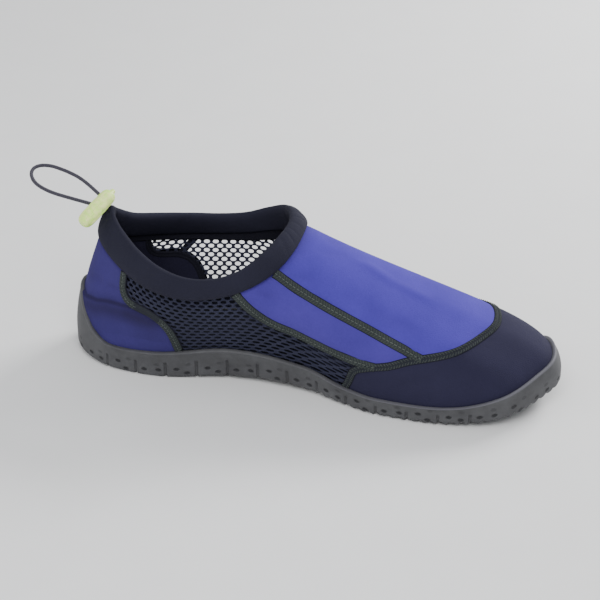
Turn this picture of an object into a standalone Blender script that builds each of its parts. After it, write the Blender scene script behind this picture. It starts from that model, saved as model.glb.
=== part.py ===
"""Water shoe for the left foot: rubber cup sole, hollow sewn upper, padded collar, cord and cord lock.

Metres, +Z up. The toe points to +X, the outer side of the foot is +Y, and the tread stands on Z = 0
with the middle of the shoe at the origin. Around the shoe a place is a turn from 0 to 2: 0 is the back
of the heel, 1 the tip of the toe by way of the inner side, and 2 the heel again by the outer side.
"""

import math

import bmesh
import bpy
import numpy as np
from mathutils import Matrix, Vector

# Overall sizes
LENGTH = 0.278
BALL_WIDTH = 0.096
HEEL_WIDTH = 0.0654
HEEL_HEIGHT = 0.0895
INSTEP_HEIGHT = 0.0905
COLLAR_DIP = 0.0197
COLLAR_BACK = 0.0235
COLLAR_LENGTH = 0.1005
COLLAR_WIDTH = 0.0885
TOE_TURN_IN = 0.0087

# Sole sizes
TOE_SPRING = 0.0111
HEEL_BEVEL = 0.0031
ARCH_LIFT = 0.0037
SOLE_FLOOR = 0.0068
SOLE_WALL = 0.0022
RIM_HEIGHT = 0.0260
EDGE_ROUND = 0.0028
LUG_DEPTH = 0.0018
GROOVE_WIDTH = 0.0024
GROOVE_PITCH = 0.0174
GROOVE_START = 0.4
GROOVED_SHARE = 0.86
SLIT_WIDTH = 0.0016
SLIT_DEPTH = 0.0011
SLIT_SHARE = 0.60
INSOLE_THICKNESS = 0.0040

# Upper, collar and trim sizes
UPPER_WALL = 0.0025
BAND_LAYER = 0.0015
BAND_HEIGHT = 0.0130
BAND_SPREAD = 0.0088
SEAM_WIDTH = 0.0046
SEAM_THICKNESS = 0.0008
SEAM_CLEAR = 0.0022
CORD_DIAMETER = 0.0021
LOCK_LENGTH = 0.0270
LOCK_DIAMETER = 0.0090
GAP = 0.0003

# Stations round the shoe on each side, and rows up the wall
STATIONS = 34
WALL_ROWS = 9
SEAM_STEP = 0.006


def table(columns, *rows):
    """Rows of numbers kept under the names of their columns."""
    return {name: [row[i] for row in rows] for i, name in enumerate(columns.split())}


# Sole sections. Half widths are shares of the width there, rim heights shares of RIM_HEIGHT.
SOLE = table(
    "station inner outer rim_inner rim_outer",
    (0.00, 0.000, 0.000, 1.56, 1.56),
    (0.05, 0.133, 0.133, 1.50, 1.50),
    (0.10, 0.258, 0.258, 1.20, 1.20),
    (0.15, 0.358, 0.362, 0.78, 0.78),
    (0.20, 0.436, 0.451, 0.60, 0.60),
    (0.30, 0.489, 0.511, 0.67, 0.66),
    (0.40, 0.375, 0.522, 0.86, 0.76),
    (0.50, 0.366, 0.524, 0.70, 0.83),
    (0.55, 0.420, 0.530, 0.49, 0.74),
    (0.60, 0.472, 0.528, 0.42, 0.42),
    (0.70, 0.480, 0.461, 0.45, 0.38),
    (0.80, 0.395, 0.362, 0.70, 0.56),
    (0.90, 0.173, 0.239, 0.92, 0.90),
    (1.00, 0.000, 0.000, 1.00, 1.00),
)

# Collar sections, from the back to the front of the opening. Half widths are shares of COLLAR_WIDTH
# at the top of the band and at its lower edge, dips shares of COLLAR_DIP, drops of BAND_HEIGHT.
COLLAR = table(
    "station top_inner top_outer low_inner low_outer dip_inner dip_outer drop_inner drop_outer",
    (0.00, 0.000, 0.000, 0.000, 0.000, 0.00, 0.00, 1.26, 1.26),
    (0.10, 0.056, 0.056, 0.096, 0.096, 0.21, 0.22, 1.12, 1.12),
    (0.20, 0.130, 0.140, 0.196, 0.203, 0.51, 0.54, 1.04, 1.04),
    (0.30, 0.254, 0.260, 0.328, 0.339, 0.72, 0.78, 1.00, 1.00),
    (0.40, 0.373, 0.367, 0.446, 0.452, 0.87, 0.96, 0.95, 0.95),
    (0.50, 0.441, 0.445, 0.497, 0.503, 0.96, 1.08, 0.85, 0.85),
    (0.60, 0.463, 0.463, 0.495, 0.508, 0.88, 1.00, 0.78, 0.85),
    (0.70, 0.429, 0.430, 0.452, 0.463, 0.65, 0.68, 0.72, 0.95),
    (0.80, 0.322, 0.318, 0.356, 0.362, 0.31, 0.29, 0.73, 1.00),
    (0.90, 0.158, 0.162, 0.215, 0.215, 0.06, 0.03, 0.56, 0.70),
    (1.00, 0.000, 0.000, 0.000, 0.000, 0.00, 0.00, 0.32, 0.32),
)

# Wall sections: the collar station over each sole station, then the two handles of the wall's curve.
# Rise, flare, bulge and lift are shares of the wall's height, reach is a share of its slant.
WALL = table(
    "station collar rise flare reach bulge lift",
    (0.00, 0.000, 0.36, 0.02, 0.20, 0.02, 0.00),
    (0.10, 0.120, 0.36, 0.02, 0.24, 0.02, 0.00),
    (0.20, 0.240, 0.34, 0.02, 0.28, 0.03, 0.00),
    (0.30, 0.410, 0.34, 0.04, 0.32, 0.05, 0.00),
    (0.40, 0.605, 0.34, 0.06, 0.36, 0.08, 0.00),
    (0.50, 0.768, 0.36, 0.06, 0.42, 0.10, 0.00),
    (0.60, 0.845, 0.36, 0.04, 0.50, 0.10, 0.00),
    (0.70, 0.900, 0.36, 0.02, 0.54, 0.06, 0.03),
    (0.80, 0.936, 0.34, 0.01, 0.58, 0.03, 0.05),
    (0.90, 0.968, 0.32, 0.00, 0.61, 0.01, 0.06),
    (1.00, 1.000, 0.31, 0.00, 0.62, 0.00, 0.06),
)


# Flat-lock seams over the panel joins: turns, and shares up the wall, from one end to the other.
SEAMS = {
    "seam_vamp_inner": ((0.540, 1.00), (0.596, 0.893), (0.640, 0.785), (0.680, 0.657), (0.708, 0.510)),
    "seam_vamp_outer": ((1.410, 1.00), (1.362, 0.880), (1.330, 0.770), (1.306, 0.658), (1.286, 0.490)),
    "seam_quarter_inner": ((0.430, 1.00), (0.455, 0.763), (0.483, 0.600), (0.520, 0.515), (0.583, 0.415)),
    "seam_quarter_outer": ((1.550, 1.00), (1.519, 0.710), (1.478, 0.520), (1.430, 0.450), (1.402, 0.405)),
    "seam_heel_inner": (
        (0.221, 1.00), (0.222, 0.80), (0.240, 0.70), (0.287, 0.68), (0.315, 0.52), (0.332, 0.10),
    ),
    "seam_heel_outer": (
        (1.779, 1.00), (1.778, 0.80), (1.760, 0.70), (1.713, 0.68), (1.685, 0.52), (1.668, 0.10),
    ),
    "seam_toe_cap": (
        (0.552, 0.05), (0.578, 0.270), (0.605, 0.340), (0.645, 0.378), (0.700, 0.430), (0.800, 0.457),
        (0.900, 0.470), (1.000, 0.472), (1.100, 0.458), (1.200, 0.436), (1.290, 0.412), (1.345, 0.380),
        (1.390, 0.300), (1.423, 0.10),
    ),
}

# The cord's loop in metres from the middle of the lock, from one hole of the lock to the other
CORD_ROUTE = (
    (0.0005, 0.0075, 0.0034), (-0.0028, 0.0096, 0.0048), (-0.0090, 0.0134, 0.0073),
    (-0.0143, 0.0160, 0.0092), (-0.0192, 0.0177, 0.0105), (-0.0247, 0.0189, 0.0118),
    (-0.0316, 0.0198, 0.0130), (-0.0374, 0.0190, 0.0132), (-0.0408, 0.0165, 0.0124),
    (-0.0413, 0.0129, 0.0109), (-0.0393, 0.0094, 0.0089), (-0.0354, 0.0065, 0.0072),
    (-0.0296, 0.0045, 0.0056), (-0.0235, 0.0034, 0.0044), (-0.0150, 0.0027, 0.0030),
    (-0.0065, 0.0020, 0.0017), (-0.0020, 0.0016, 0.0010),
)
LOCK_FROM_COLLAR = (-0.0066, -0.0072, 0.0016)
LOCK_AXIS = (0.413, 0.843, 0.344)

# Lock outline from its nub down: shares of LOCK_LENGTH along the axis and of LOCK_DIAMETER across
LOCK_PROFILE = table(
    "axial radial",
    (0.560, 0.000), (0.560, 0.120), (0.535, 0.170), (0.470, 0.175), (0.440, 0.380), (0.370, 0.470),
    (0.150, 0.500), (-0.300, 0.500), (-0.440, 0.440), (-0.490, 0.300), (-0.500, 0.000),
)


def smooth(share):
    """Soft step from 0 to 1."""
    share = min(max(share, 0.0), 1.0)
    return share * share * (3.0 - 2.0 * share)


def curve_through(places, values, place):
    """Smooth curve through values at rising places."""
    last = len(places) - 1
    i = min(max(int(np.searchsorted(places, place, side="right")) - 1, 0), last - 1)

    def slope(k):
        a, b = max(k - 1, 0), min(k + 1, last)
        return (values[b] - values[a]) / (places[b] - places[a])

    step = places[i + 1] - places[i]
    t = (place - places[i]) / step
    return (
        (2 * t**3 - 3 * t**2 + 1) * values[i]
        + (t**3 - 2 * t**2 + t) * step * slope(i)
        + (3 * t**2 - 2 * t**3) * values[i + 1]
        + (t**3 - t**2) * step * slope(i + 1)
    )


def closed_ring(rows, inner, outer, mirror=1.0):
    """Places and values all round a ring, with one turn more at each end so that it closes."""
    stations = rows["station"]
    places = list(stations) + [2.0 - s for s in reversed(stations[:-1])]
    values = [v * mirror for v in rows[inner]] + list(reversed(rows[outer][:-1]))
    before = [(p - 2.0, v) for p, v in zip(places[-4:-1], values[-4:-1])]
    after = [(p + 2.0, v) for p, v in zip(places[1:4], values[1:4])]
    pairs = before + list(zip(places, values)) + after
    return [p for p, _ in pairs], [v for _, v in pairs]


SOLE_SIDE = closed_ring(SOLE, "inner", "outer", -1.0)
SOLE_RIM = closed_ring(SOLE, "rim_inner", "rim_outer")
TOP_SIDE = closed_ring(COLLAR, "top_inner", "top_outer", -1.0)
LOW_SIDE = closed_ring(COLLAR, "low_inner", "low_outer", -1.0)
COLLAR_DIPS = closed_ring(COLLAR, "dip_inner", "dip_outer")
COLLAR_DROPS = closed_ring(COLLAR, "drop_inner", "drop_outer")


def station_of(turn):
    """Share of the way from heel to toe, and the side: -1 inner, +1 outer."""
    turn = turn % 2.0
    return (turn, -1.0) if turn <= 1.0 else (2.0 - turn, 1.0)


def along(station):
    """Share of a length at a station, with stations crowding at the rounded ends."""
    return 0.5 - 0.5 * math.cos(math.pi * station)


def centre_y(x):
    """Middle line of the sole, which turns in towards the big toe."""
    return -TOE_TURN_IN * max((x / LENGTH - 0.35) / 0.65, 0.0) ** 2


def outline(turn):
    """Edge of the sole seen from above, before it is centred."""
    turn = turn % 2.0
    station, _ = station_of(turn)
    width = HEEL_WIDTH + (BALL_WIDTH - HEEL_WIDTH) * smooth((station - 0.3) / 0.3)
    x = LENGTH * along(station)
    return np.array([x, centre_y(x) + width * curve_through(*SOLE_SIDE, turn)])


def outline_middle():
    """Middle of the outline's box, where the origin goes."""
    points = np.array([outline(2.0 * i / 400) for i in range(400)])
    return (points.min(axis=0) + points.max(axis=0)) / 2.0


MIDDLE = outline_middle()


def outward(turn):
    """Unit vector square to the outline, away from the shoe."""
    step = outline(turn + 0.004) - outline(turn - 0.004)
    return np.array([step[1], -step[0]]) / np.hypot(*step)


def tread_height(x, y):
    """Underside of the sole over the floor: heel bevel, arch and toe spring between two flats."""
    u = x / LENGTH
    arch = max(1.0 - ((u - 0.42) / 0.20) ** 2, 0.0) ** 2
    lean = smooth(0.5 - (y - centre_y(x)) / (1.2 * HEEL_WIDTH))
    return (
        HEEL_BEVEL * max((0.14 - u) / 0.14, 0.0) ** 2
        + ARCH_LIFT * arch * (0.4 + 0.6 * lean)
        + TOE_SPRING * max((u - 0.72) / 0.28, 0.0) ** 2
    )


def rim_height(turn):
    """Top edge of the sole's wall, with the tab at the back of the heel."""
    return RIM_HEIGHT * curve_through(*SOLE_RIM, turn % 2.0)


def inset_point(turn, inset, above=0.0):
    """Point inside the sole's outline by an inset, and above the underside there."""
    x, y = outline(turn) - outward(turn) * inset
    return np.array([x, y, tread_height(x, y) + above])


def collar_station(turn):
    """Place on the collar over a place on the sole."""
    station, _ = station_of(turn)
    share = curve_through(WALL["station"], WALL["collar"], station)
    return share if turn % 2.0 <= 1.0 else 2.0 - share


def collar_lines(turn):
    """Top of the collar band and the lower outer edge of it, at one place round the shoe."""
    place = collar_station(turn)
    station, _ = station_of(place)
    band = BAND_HEIGHT * curve_through(*COLLAR_DROPS, place)
    top_z = HEEL_HEIGHT + (INSTEP_HEIGHT - HEEL_HEIGHT) * station
    top_z -= COLLAR_DIP * curve_through(*COLLAR_DIPS, place)
    top_x = COLLAR_BACK + COLLAR_LENGTH * along(station)
    top = np.array([top_x, COLLAR_WIDTH * curve_through(*TOP_SIDE, place), top_z])
    low_x = COLLAR_BACK + COLLAR_LENGTH * along(station) - BAND_SPREAD * math.cos(math.pi * station)
    low = np.array([low_x, COLLAR_WIDTH * curve_through(*LOW_SIDE, place), top_z - band])
    return top, low


def unit(vector):
    return vector / np.linalg.norm(vector)


HALF_BAND = BAND_LAYER + GAP + UPPER_WALL / 2.0


def collar_frame(turn):
    """Foot of the band's middle surface, the way up the band, the way out of it, and its height."""
    top, low = collar_lines(turn)
    low_next, low_last = collar_lines(turn + 0.01)[1], collar_lines(turn - 0.01)[1]
    tangent = unit(low_next - low_last)
    out = unit(np.cross(tangent, top - low))
    foot = low - out * HALF_BAND
    up = unit(top - foot)
    out = unit(out - up * np.dot(out, up))
    return foot, up, out, float(np.linalg.norm(top - foot))


WALL_TOP_SHARE = 0.55


def wall_curve(turn):
    """Four handles of the wall's outer curve, from the floor of the sole to the collar's lower edge."""
    station, _ = station_of(turn)
    foot, _, out, _ = collar_frame(turn)
    end = foot + out * UPPER_WALL / 2.0
    start = inset_point(turn, SOLE_WALL + GAP, SOLE_FLOOR + GAP)
    height = end[2] - start[2]
    names = ("rise", "flare", "reach", "bulge", "lift")
    rise, flare, reach, bulge, lift = (curve_through(WALL["station"], WALL[k], station) for k in names)
    away = np.array([*outward(turn), 0.0])
    upright = np.array([0.0, 0.0, 1.0])
    first = start + (upright * rise + away * flare) * height
    second = end + (start - end) * reach + (upright * lift + away * bulge) * height
    return start, first, second, end


def wall_point(turn, share):
    """Outer surface of the upper: 0 at the sole's floor, 1 at the collar, past 1 under the band."""
    a, b, c, d = wall_curve(turn)
    if share > 1.0:
        return d + collar_frame(turn)[1] * (share - 1.0)
    r = 1.0 - share
    return r**3 * a + 3 * r * r * share * b + 3 * r * share * share * c + share**3 * d


def wall_normal(turn, share):
    """Way out of the upper's outer surface."""
    if share > 1.0:
        return collar_frame(turn)[2]
    low, high = max(share - 0.02, 0.0), min(share + 0.02, 1.0)
    up = wall_point(turn, high) - wall_point(turn, low)
    round_it = wall_point(turn + 0.006, share) - wall_point(turn - 0.006, share)
    return unit(np.cross(round_it, up))


def wall_offset(turn, share, offset):
    return wall_point(turn, share) + wall_normal(turn, share) * offset


# Blender pieces
def material(name, colour, roughness, metallic=0.0):
    made = bpy.data.materials.new(name)
    made.use_nodes = True
    shader = made.node_tree.nodes["Principled BSDF"]
    shader.inputs["Base Color"].default_value = (*colour, 1.0)
    shader.inputs["Roughness"].default_value = roughness
    shader.inputs["Metallic"].default_value = metallic
    return made


def add_piece(name, mesh, collection, finish=None):
    """Object from a bmesh or mesh, linked to its collection."""
    if isinstance(mesh, bmesh.types.BMesh):
        bmesh.ops.recalc_face_normals(mesh, faces=mesh.faces)
        data = bpy.data.meshes.new(name)
        mesh.to_mesh(data)
        mesh.free()
    else:
        data = mesh
    piece = bpy.data.objects.new(name, data)
    collection.objects.link(piece)
    if finish:
        data.materials.append(finish)
        data.shade_smooth()
        data.set_sharp_from_angle(angle=math.radians(40))
    return piece


def centred(point):
    return Vector((point[0] - MIDDLE[0], point[1] - MIDDLE[1], point[2]))


def loft(shape, rings, closed):
    """Join rings of points, one after the other, and back to the first where it is closed."""
    loops = [[shape.verts.new(centred(p)) for p in ring] for ring in rings]
    pairs = list(zip(loops, loops[1:])) + ([(loops[-1], loops[0])] if closed else [])
    for low, high in pairs:
        for i in range(len(low)):
            j = (i + 1) % len(low)
            shape.faces.new((low[i], low[j], high[j], high[i]))
    return loops


def span(shape, loop, height, parts=4):
    """Close a ring round the shoe with strips across it, at a height worked out from x and y."""
    count = len(loop)
    rows = [[loop[0]]]
    for i in range(1, count // 2):
        a, b = loop[i], loop[count - i]
        row = [a]
        for k in range(1, parts):
            p = a.co.lerp(b.co, k / parts)
            p.z = height(p.x + MIDDLE[0], p.y + MIDDLE[1])
            row.append(shape.verts.new(p))
        rows.append(row + [b])
    rows.append([loop[count // 2]])
    for last, row in zip(rows, rows[1:]):
        for k in range(parts):
            corners = [last[min(k, len(last) - 1)], last[min(k + 1, len(last) - 1)]]
            corners += [row[min(k + 1, len(row) - 1)], row[min(k, len(row) - 1)]]
            shape.faces.new(list(dict.fromkeys(corners)))


TURNS = [i / STATIONS for i in range(2 * STATIONS)]


def wall_share_at(turn, height):
    """Share up the wall's curve at which it reaches a height."""
    low, high = 0.0, 1.0
    for _ in range(24):
        middle = (low + high) / 2.0
        if wall_point(turn, middle)[2] < height:
            low = middle
        else:
            high = middle
    return low


def wall_shares(turn):
    """Rows up the wall: two behind the sole's rim, which the rim itself also follows, then the rest."""
    rim = wall_share_at(turn, rim_height(turn))
    rest = WALL_ROWS - 2
    return [0.0, rim / 2.0] + [rim + (1.0 - rim) * k / rest for k in range(rest + 1)]


def sole_side(turn):
    """Section of the sole's wall from the tread up, over the lip and down to the floor inside."""
    middle, share = wall_shares(turn)[1:3]
    floor = inset_point(turn, SOLE_WALL, SOLE_FLOOR)
    return [
        inset_point(turn, EDGE_ROUND),
        inset_point(turn, EDGE_ROUND * 0.3, EDGE_ROUND * 0.3),
        inset_point(turn, 0.0, EDGE_ROUND),
        wall_offset(turn, 0.0, GAP + SOLE_WALL),
        wall_offset(turn, middle, GAP + SOLE_WALL),
        wall_offset(turn, share, GAP + SOLE_WALL * 0.8),
        wall_offset(turn, share, GAP),
        wall_offset(turn, middle, GAP),
        floor,
    ]


def groove_cutter(shape, start, end, width, depth, pieces=8):
    """Bar that follows the tread from one point to another and cuts a groove into it."""
    start, end = np.array(start), np.array(end)
    side = np.array([end[1] - start[1], start[0] - end[0]])
    side = side / np.hypot(*side) * width / 2.0
    rings = []
    for i in range(pieces + 1):
        x, y = start + (end - start) * i / pieces
        top = tread_height(x, y) + depth
        corners = [(side, top), (-side, top), (-side, -0.01), (side, -0.01)]
        rings.append([(x + s[0], y + s[1], z) for s, z in corners])
    loops = loft(shape, rings, False)
    shape.faces.new(loops[0])
    shape.faces.new(loops[-1])


def slit_cutter(shape, turn):
    """Upright blade that cuts one slit into the sole's side."""
    x, y = outline(turn)
    low = tread_height(x, y)
    height = SLIT_SHARE * (rim_height(turn) - low)
    out = outward(turn)
    size = (2.0 * SLIT_DEPTH + 0.02, SLIT_WIDTH, height + 0.01)
    centre = Vector((*(np.array([x, y]) + out * 0.01 - MIDDLE), low + height - size[2] / 2.0))
    spin = Matrix.Rotation(math.atan2(out[1], out[0]), 4, "Z")
    bmesh.ops.create_cube(
        shape, size=1.0, matrix=Matrix.Translation(centre) @ spin @ Matrix.Diagonal((*size, 1.0))
    )


def turn_at(x, side):
    """Turn at which the outline passes a length from the heel."""
    station = math.acos(1.0 - 2.0 * x / LENGTH) / math.pi
    return station if side < 0 else 2.0 - station


def make_outsole(parts, cutters, finish):
    shape = bmesh.new()
    rings = list(zip(*[sole_side(t) for t in TURNS]))
    loops = loft(shape, rings, False)
    span(shape, loops[0], tread_height)
    span(shape, loops[-1], lambda x, y: tread_height(x, y) + SOLE_FLOOR)
    sole = add_piece("outsole", shape, parts, finish)

    grooves, slits = bmesh.new(), bmesh.new()
    for i in range(1, int(GROOVED_SHARE * LENGTH / GROOVE_PITCH) + 1):
        x = GROOVE_PITCH * (i + GROOVE_START)
        groove_cutter(grooves, (x, -BALL_WIDTH), (x, BALL_WIDTH), GROOVE_WIDTH, LUG_DEPTH)
        for side in (-1, 1):
            slit_cutter(slits, turn_at(x, side))
    for name, cutter in (("tread_grooves", grooves), ("side_slits", slits)):
        blade = add_piece(name, cutter, cutters)
        blade.hide_render = True
        blade.display_type = "WIRE"
        cut = sole.modifiers.new(name, "BOOLEAN")
        cut.operation = "DIFFERENCE"
        cut.object = blade


def make_insole(parts, finish):
    inset = SOLE_WALL + UPPER_WALL + 2.5 * GAP
    shape = bmesh.new()
    low = [inset_point(t, inset, SOLE_FLOOR + GAP) for t in TURNS]
    high = [inset_point(t, inset + 2.0 * GAP, SOLE_FLOOR + GAP + INSOLE_THICKNESS) for t in TURNS]
    loops = loft(shape, [low, high], False)
    span(shape, loops[0], lambda x, y: tread_height(x, y) + SOLE_FLOOR + GAP, 2)
    span(shape, loops[1], lambda x, y: tread_height(x, y) + SOLE_FLOOR + GAP + INSOLE_THICKNESS, 2)
    add_piece("insole", shape, parts, finish)


def make_upper(parts, finish):
    """One hollow wall, open at the collar and at the sole."""
    shape = bmesh.new()
    outer, inner = [], []
    for turn in TURNS:
        share_top = 1.0 + WALL_TOP_SHARE * collar_frame(turn)[3]
        shares = wall_shares(turn) + [share_top]
        outer.append([wall_point(turn, s) for s in shares])
        inner.append([wall_offset(turn, s, -UPPER_WALL) for s in shares])
        inner[-1][0][2] = outer[-1][0][2]
    rings = list(zip(*outer)) + list(reversed(list(zip(*inner))))
    loft(shape, rings, True)
    add_piece("upper", shape, parts, finish)


def make_collar(parts, finish):
    """Padded band folded over the top edge of the wall."""
    shape = bmesh.new()
    half, slot, rise = HALF_BAND, UPPER_WALL / 2.0 + 1.8 * GAP, 3.0 * GAP
    sections = []
    for turn in TURNS:
        foot, up, out, height = collar_frame(turn)
        roof = WALL_TOP_SHARE * height + 2.0 * GAP
        bend = half * math.sqrt(0.5)
        profile = [
            (rise, slot), (rise, half), (height - half, half), (height - half + bend, bend),
            (height, 0.0), (height - half + bend, -bend), (height - half, -half),
            (rise, -half), (rise, -slot), (roof, -slot), (roof, slot),
        ]
        sections.append([foot + up * u + out * o for u, o in profile])
    loft(shape, list(zip(*sections)), True)
    add_piece("collar_binding", shape, parts, finish)


def seam_points(knots):
    """Places along a seam, kept between the sole's rim and the collar's lower edge."""
    turns, shares = zip(*knots)
    steps = list(range(len(knots)))
    rough = [wall_point(curve_through(steps, turns, k), curve_through(steps, shares, k)) for k in steps]
    length = sum(np.linalg.norm(b - a) for a, b in zip(rough, rough[1:]))
    count = max(int(length / SEAM_STEP), 6)
    places = []
    for i in range(count + 1):
        k = (len(knots) - 1) * i / count
        turn, share = curve_through(steps, turns, k), curve_through(steps, shares, k)
        slant = np.linalg.norm(wall_curve(turn)[3] - wall_curve(turn)[0])
        lowest = wall_share_at(turn, rim_height(turn) + SEAM_CLEAR)
        places.append((turn, min(max(share, lowest), 1.0 - SEAM_CLEAR / slant)))
    return places


def make_seam(parts, name, knots, finish):
    """Flat raised strip that lies on the wall along a panel join."""
    places = seam_points(knots)
    middles = [wall_point(*p) for p in places]
    normals = [wall_normal(*p) for p in places]
    half, top = SEAM_WIDTH / 2.0, GAP + SEAM_THICKNESS
    rings = []
    for i, (middle, normal) in enumerate(zip(middles, normals)):
        step = middles[min(i + 1, len(middles) - 1)] - middles[max(i - 1, 0)]
        side = unit(np.cross(normal, step))
        corners = ((half, GAP), (0.7 * half, top), (-0.7 * half, top), (-half, GAP))
        rings.append([middle + side * s + normal * n for s, n in corners])
    shape = bmesh.new()
    loops = loft(shape, rings, False)
    shape.faces.new(loops[0])
    shape.faces.new(loops[-1])
    add_piece(name, shape, parts, finish)


def lock_middle():
    top, _ = collar_lines(0.0)
    return centred(top + np.array(LOCK_FROM_COLLAR))


def cord_points():
    """Evenly spaced points on a smooth curve through the cord's route."""
    steps = list(range(len(CORD_ROUTE)))
    fine = [
        Vector([curve_through(steps, [p[k] for p in CORD_ROUTE], i / 8) for k in range(3)])
        for i in range(8 * (len(CORD_ROUTE) - 1) + 1)
    ]
    runs = [0.0]
    for a, b in zip(fine, fine[1:]):
        runs.append(runs[-1] + (b - a).length)
    count = round(runs[-1] / (2.2 * CORD_DIAMETER))
    wanted = [runs[-1] * i / count for i in range(count + 1)]
    axes = [np.interp(wanted, runs, [p[k] for p in fine]) for k in range(3)]
    return [Vector(p) + lock_middle() for p in zip(*axes)]


def make_cord(parts, finish):
    curve = bpy.data.curves.new("elastic_cord", "CURVE")
    curve.dimensions = "3D"
    curve.bevel_depth = CORD_DIAMETER / 2.0
    curve.bevel_resolution = 2
    curve.use_fill_caps = True
    points = cord_points()
    spline = curve.splines.new("POLY")
    spline.points.add(len(points) - 1)
    for target, point in zip(spline.points, points):
        target.co = (*point, 1.0)
    cord = bpy.data.objects.new("elastic_cord", curve)
    parts.objects.link(cord)
    curve.materials.append(finish)


def make_lock(parts, cutters, finish):
    """Turned cord lock with a hole for each strand of the cord."""
    shape = bmesh.new()
    corners = [
        shape.verts.new((r * LOCK_DIAMETER, 0.0, a * LOCK_LENGTH))
        for a, r in zip(LOCK_PROFILE["axial"], LOCK_PROFILE["radial"])
    ]
    for a, b in zip(corners, corners[1:]):
        shape.edges.new((a, b))
    data = bpy.data.meshes.new("cord_lock")
    shape.to_mesh(data)
    shape.free()
    lock = bpy.data.objects.new("cord_lock", data)
    parts.objects.link(lock)
    data.materials.append(finish)
    turned = lock.modifiers.new("turned", "SCREW")
    turned.steps = 16
    turned.render_steps = 16
    turned.use_merge_vertices = True
    turned.merge_threshold = 0.00005
    turned.use_smooth_shade = True
    lock.location = lock_middle()
    lock.rotation_mode = "QUATERNION"
    lock.rotation_quaternion = Vector(LOCK_AXIS).to_track_quat("Z", "Y")

    points = cord_points()
    for name, end, after in (("hole_upper", points[0], points[1]), ("hole_lower", points[-1], points[-2])):
        way = (after - end).normalized()
        hole = bmesh.new()
        bmesh.ops.create_cone(
            hole, cap_ends=True, segments=12, radius1=CORD_DIAMETER / 2.0 + GAP,
            radius2=CORD_DIAMETER / 2.0 + GAP, depth=LOCK_DIAMETER,
        )
        bore = add_piece(name, hole, cutters)
        bore.location = end + way * (LOCK_DIAMETER / 2.0 - 2.0 * GAP)
        bore.rotation_mode = "QUATERNION"
        bore.rotation_quaternion = way.to_track_quat("Z", "Y")
        bore.hide_render = True
        bore.display_type = "WIRE"
        cut = lock.modifiers.new(name, "BOOLEAN")
        cut.operation = "DIFFERENCE"
        cut.object = bore


def main():
    for old in list(bpy.data.objects):
        bpy.data.objects.remove(old, do_unlink=True)
    scene = bpy.context.scene
    parts = bpy.data.collections.new("water_shoe")
    cutters = bpy.data.collections.new("cutters")
    scene.collection.children.link(parts)
    scene.collection.children.link(cutters)

    rubber = material("sole_rubber", (0.075, 0.078, 0.085), 0.75)
    lining = material("insole_foam", (0.012, 0.013, 0.022), 0.90)
    cloth = material("upper_cloth", (0.070, 0.070, 0.380), 0.85)
    binding = material("collar_cloth", (0.016, 0.017, 0.045), 0.90)
    thread = material("seam_thread", (0.055, 0.070, 0.075), 0.85)
    elastic = material("cord_braid", (0.060, 0.057, 0.080), 0.80)
    plastic = material("lock_plastic", (0.680, 0.830, 0.400), 0.45)

    make_outsole(parts, cutters, rubber)
    make_insole(parts, lining)
    make_upper(parts, cloth)
    make_collar(parts, binding)
    for name, knots in SEAMS.items():
        make_seam(parts, name, knots, thread)
    make_cord(parts, elastic)
    make_lock(parts, cutters, plastic)


main()
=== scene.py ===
from math import acos, cos, pi, sin

import bpy
import numpy as np
from mathutils import Matrix, Vector, kdtree


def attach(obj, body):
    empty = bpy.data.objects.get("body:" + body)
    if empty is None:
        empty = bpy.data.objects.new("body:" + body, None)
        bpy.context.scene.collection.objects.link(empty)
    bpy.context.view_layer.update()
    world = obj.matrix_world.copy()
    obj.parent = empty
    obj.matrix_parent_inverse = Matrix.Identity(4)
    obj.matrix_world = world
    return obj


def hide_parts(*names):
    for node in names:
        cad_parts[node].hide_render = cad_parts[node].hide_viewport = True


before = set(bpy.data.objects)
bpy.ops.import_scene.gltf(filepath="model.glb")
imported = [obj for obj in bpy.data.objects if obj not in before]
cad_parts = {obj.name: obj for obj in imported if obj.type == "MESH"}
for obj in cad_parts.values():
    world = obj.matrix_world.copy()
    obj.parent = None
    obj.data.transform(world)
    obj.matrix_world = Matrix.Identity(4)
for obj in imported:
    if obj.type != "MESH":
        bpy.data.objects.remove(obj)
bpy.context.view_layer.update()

# The shoe's shape, worked out as in the part's source
# Overall sizes
LENGTH = 0.278
BALL_WIDTH = 0.096
HEEL_WIDTH = 0.0654
HEEL_HEIGHT = 0.0895
INSTEP_HEIGHT = 0.0905
COLLAR_DIP = 0.0197
COLLAR_BACK = 0.0235
COLLAR_LENGTH = 0.1005
COLLAR_WIDTH = 0.0885
TOE_TURN_IN = 0.0087

# Sole sizes
TOE_SPRING = 0.0111
HEEL_BEVEL = 0.0031
ARCH_LIFT = 0.0037
SOLE_FLOOR = 0.0068
SOLE_WALL = 0.0022
RIM_HEIGHT = 0.0260
EDGE_ROUND = 0.0028
LUG_DEPTH = 0.0018
GROOVE_WIDTH = 0.0024
GROOVE_PITCH = 0.0174
GROOVE_START = 0.4
GROOVED_SHARE = 0.86
SLIT_WIDTH = 0.0016
SLIT_DEPTH = 0.0011
SLIT_SHARE = 0.60
INSOLE_THICKNESS = 0.0040

# Upper, collar and trim sizes
UPPER_WALL = 0.0025
BAND_LAYER = 0.0015
BAND_HEIGHT = 0.0130
BAND_SPREAD = 0.0088
SEAM_WIDTH = 0.0046
CORD_DIAMETER = 0.0021
LOCK_LENGTH = 0.0270
LOCK_DIAMETER = 0.0090
GAP = 0.0003


def table(columns, *rows):
    """Rows of thousandths kept under the names of their columns."""
    return {name: [row[i] / 1000 for row in rows] for i, name in enumerate(columns.split())}


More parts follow.
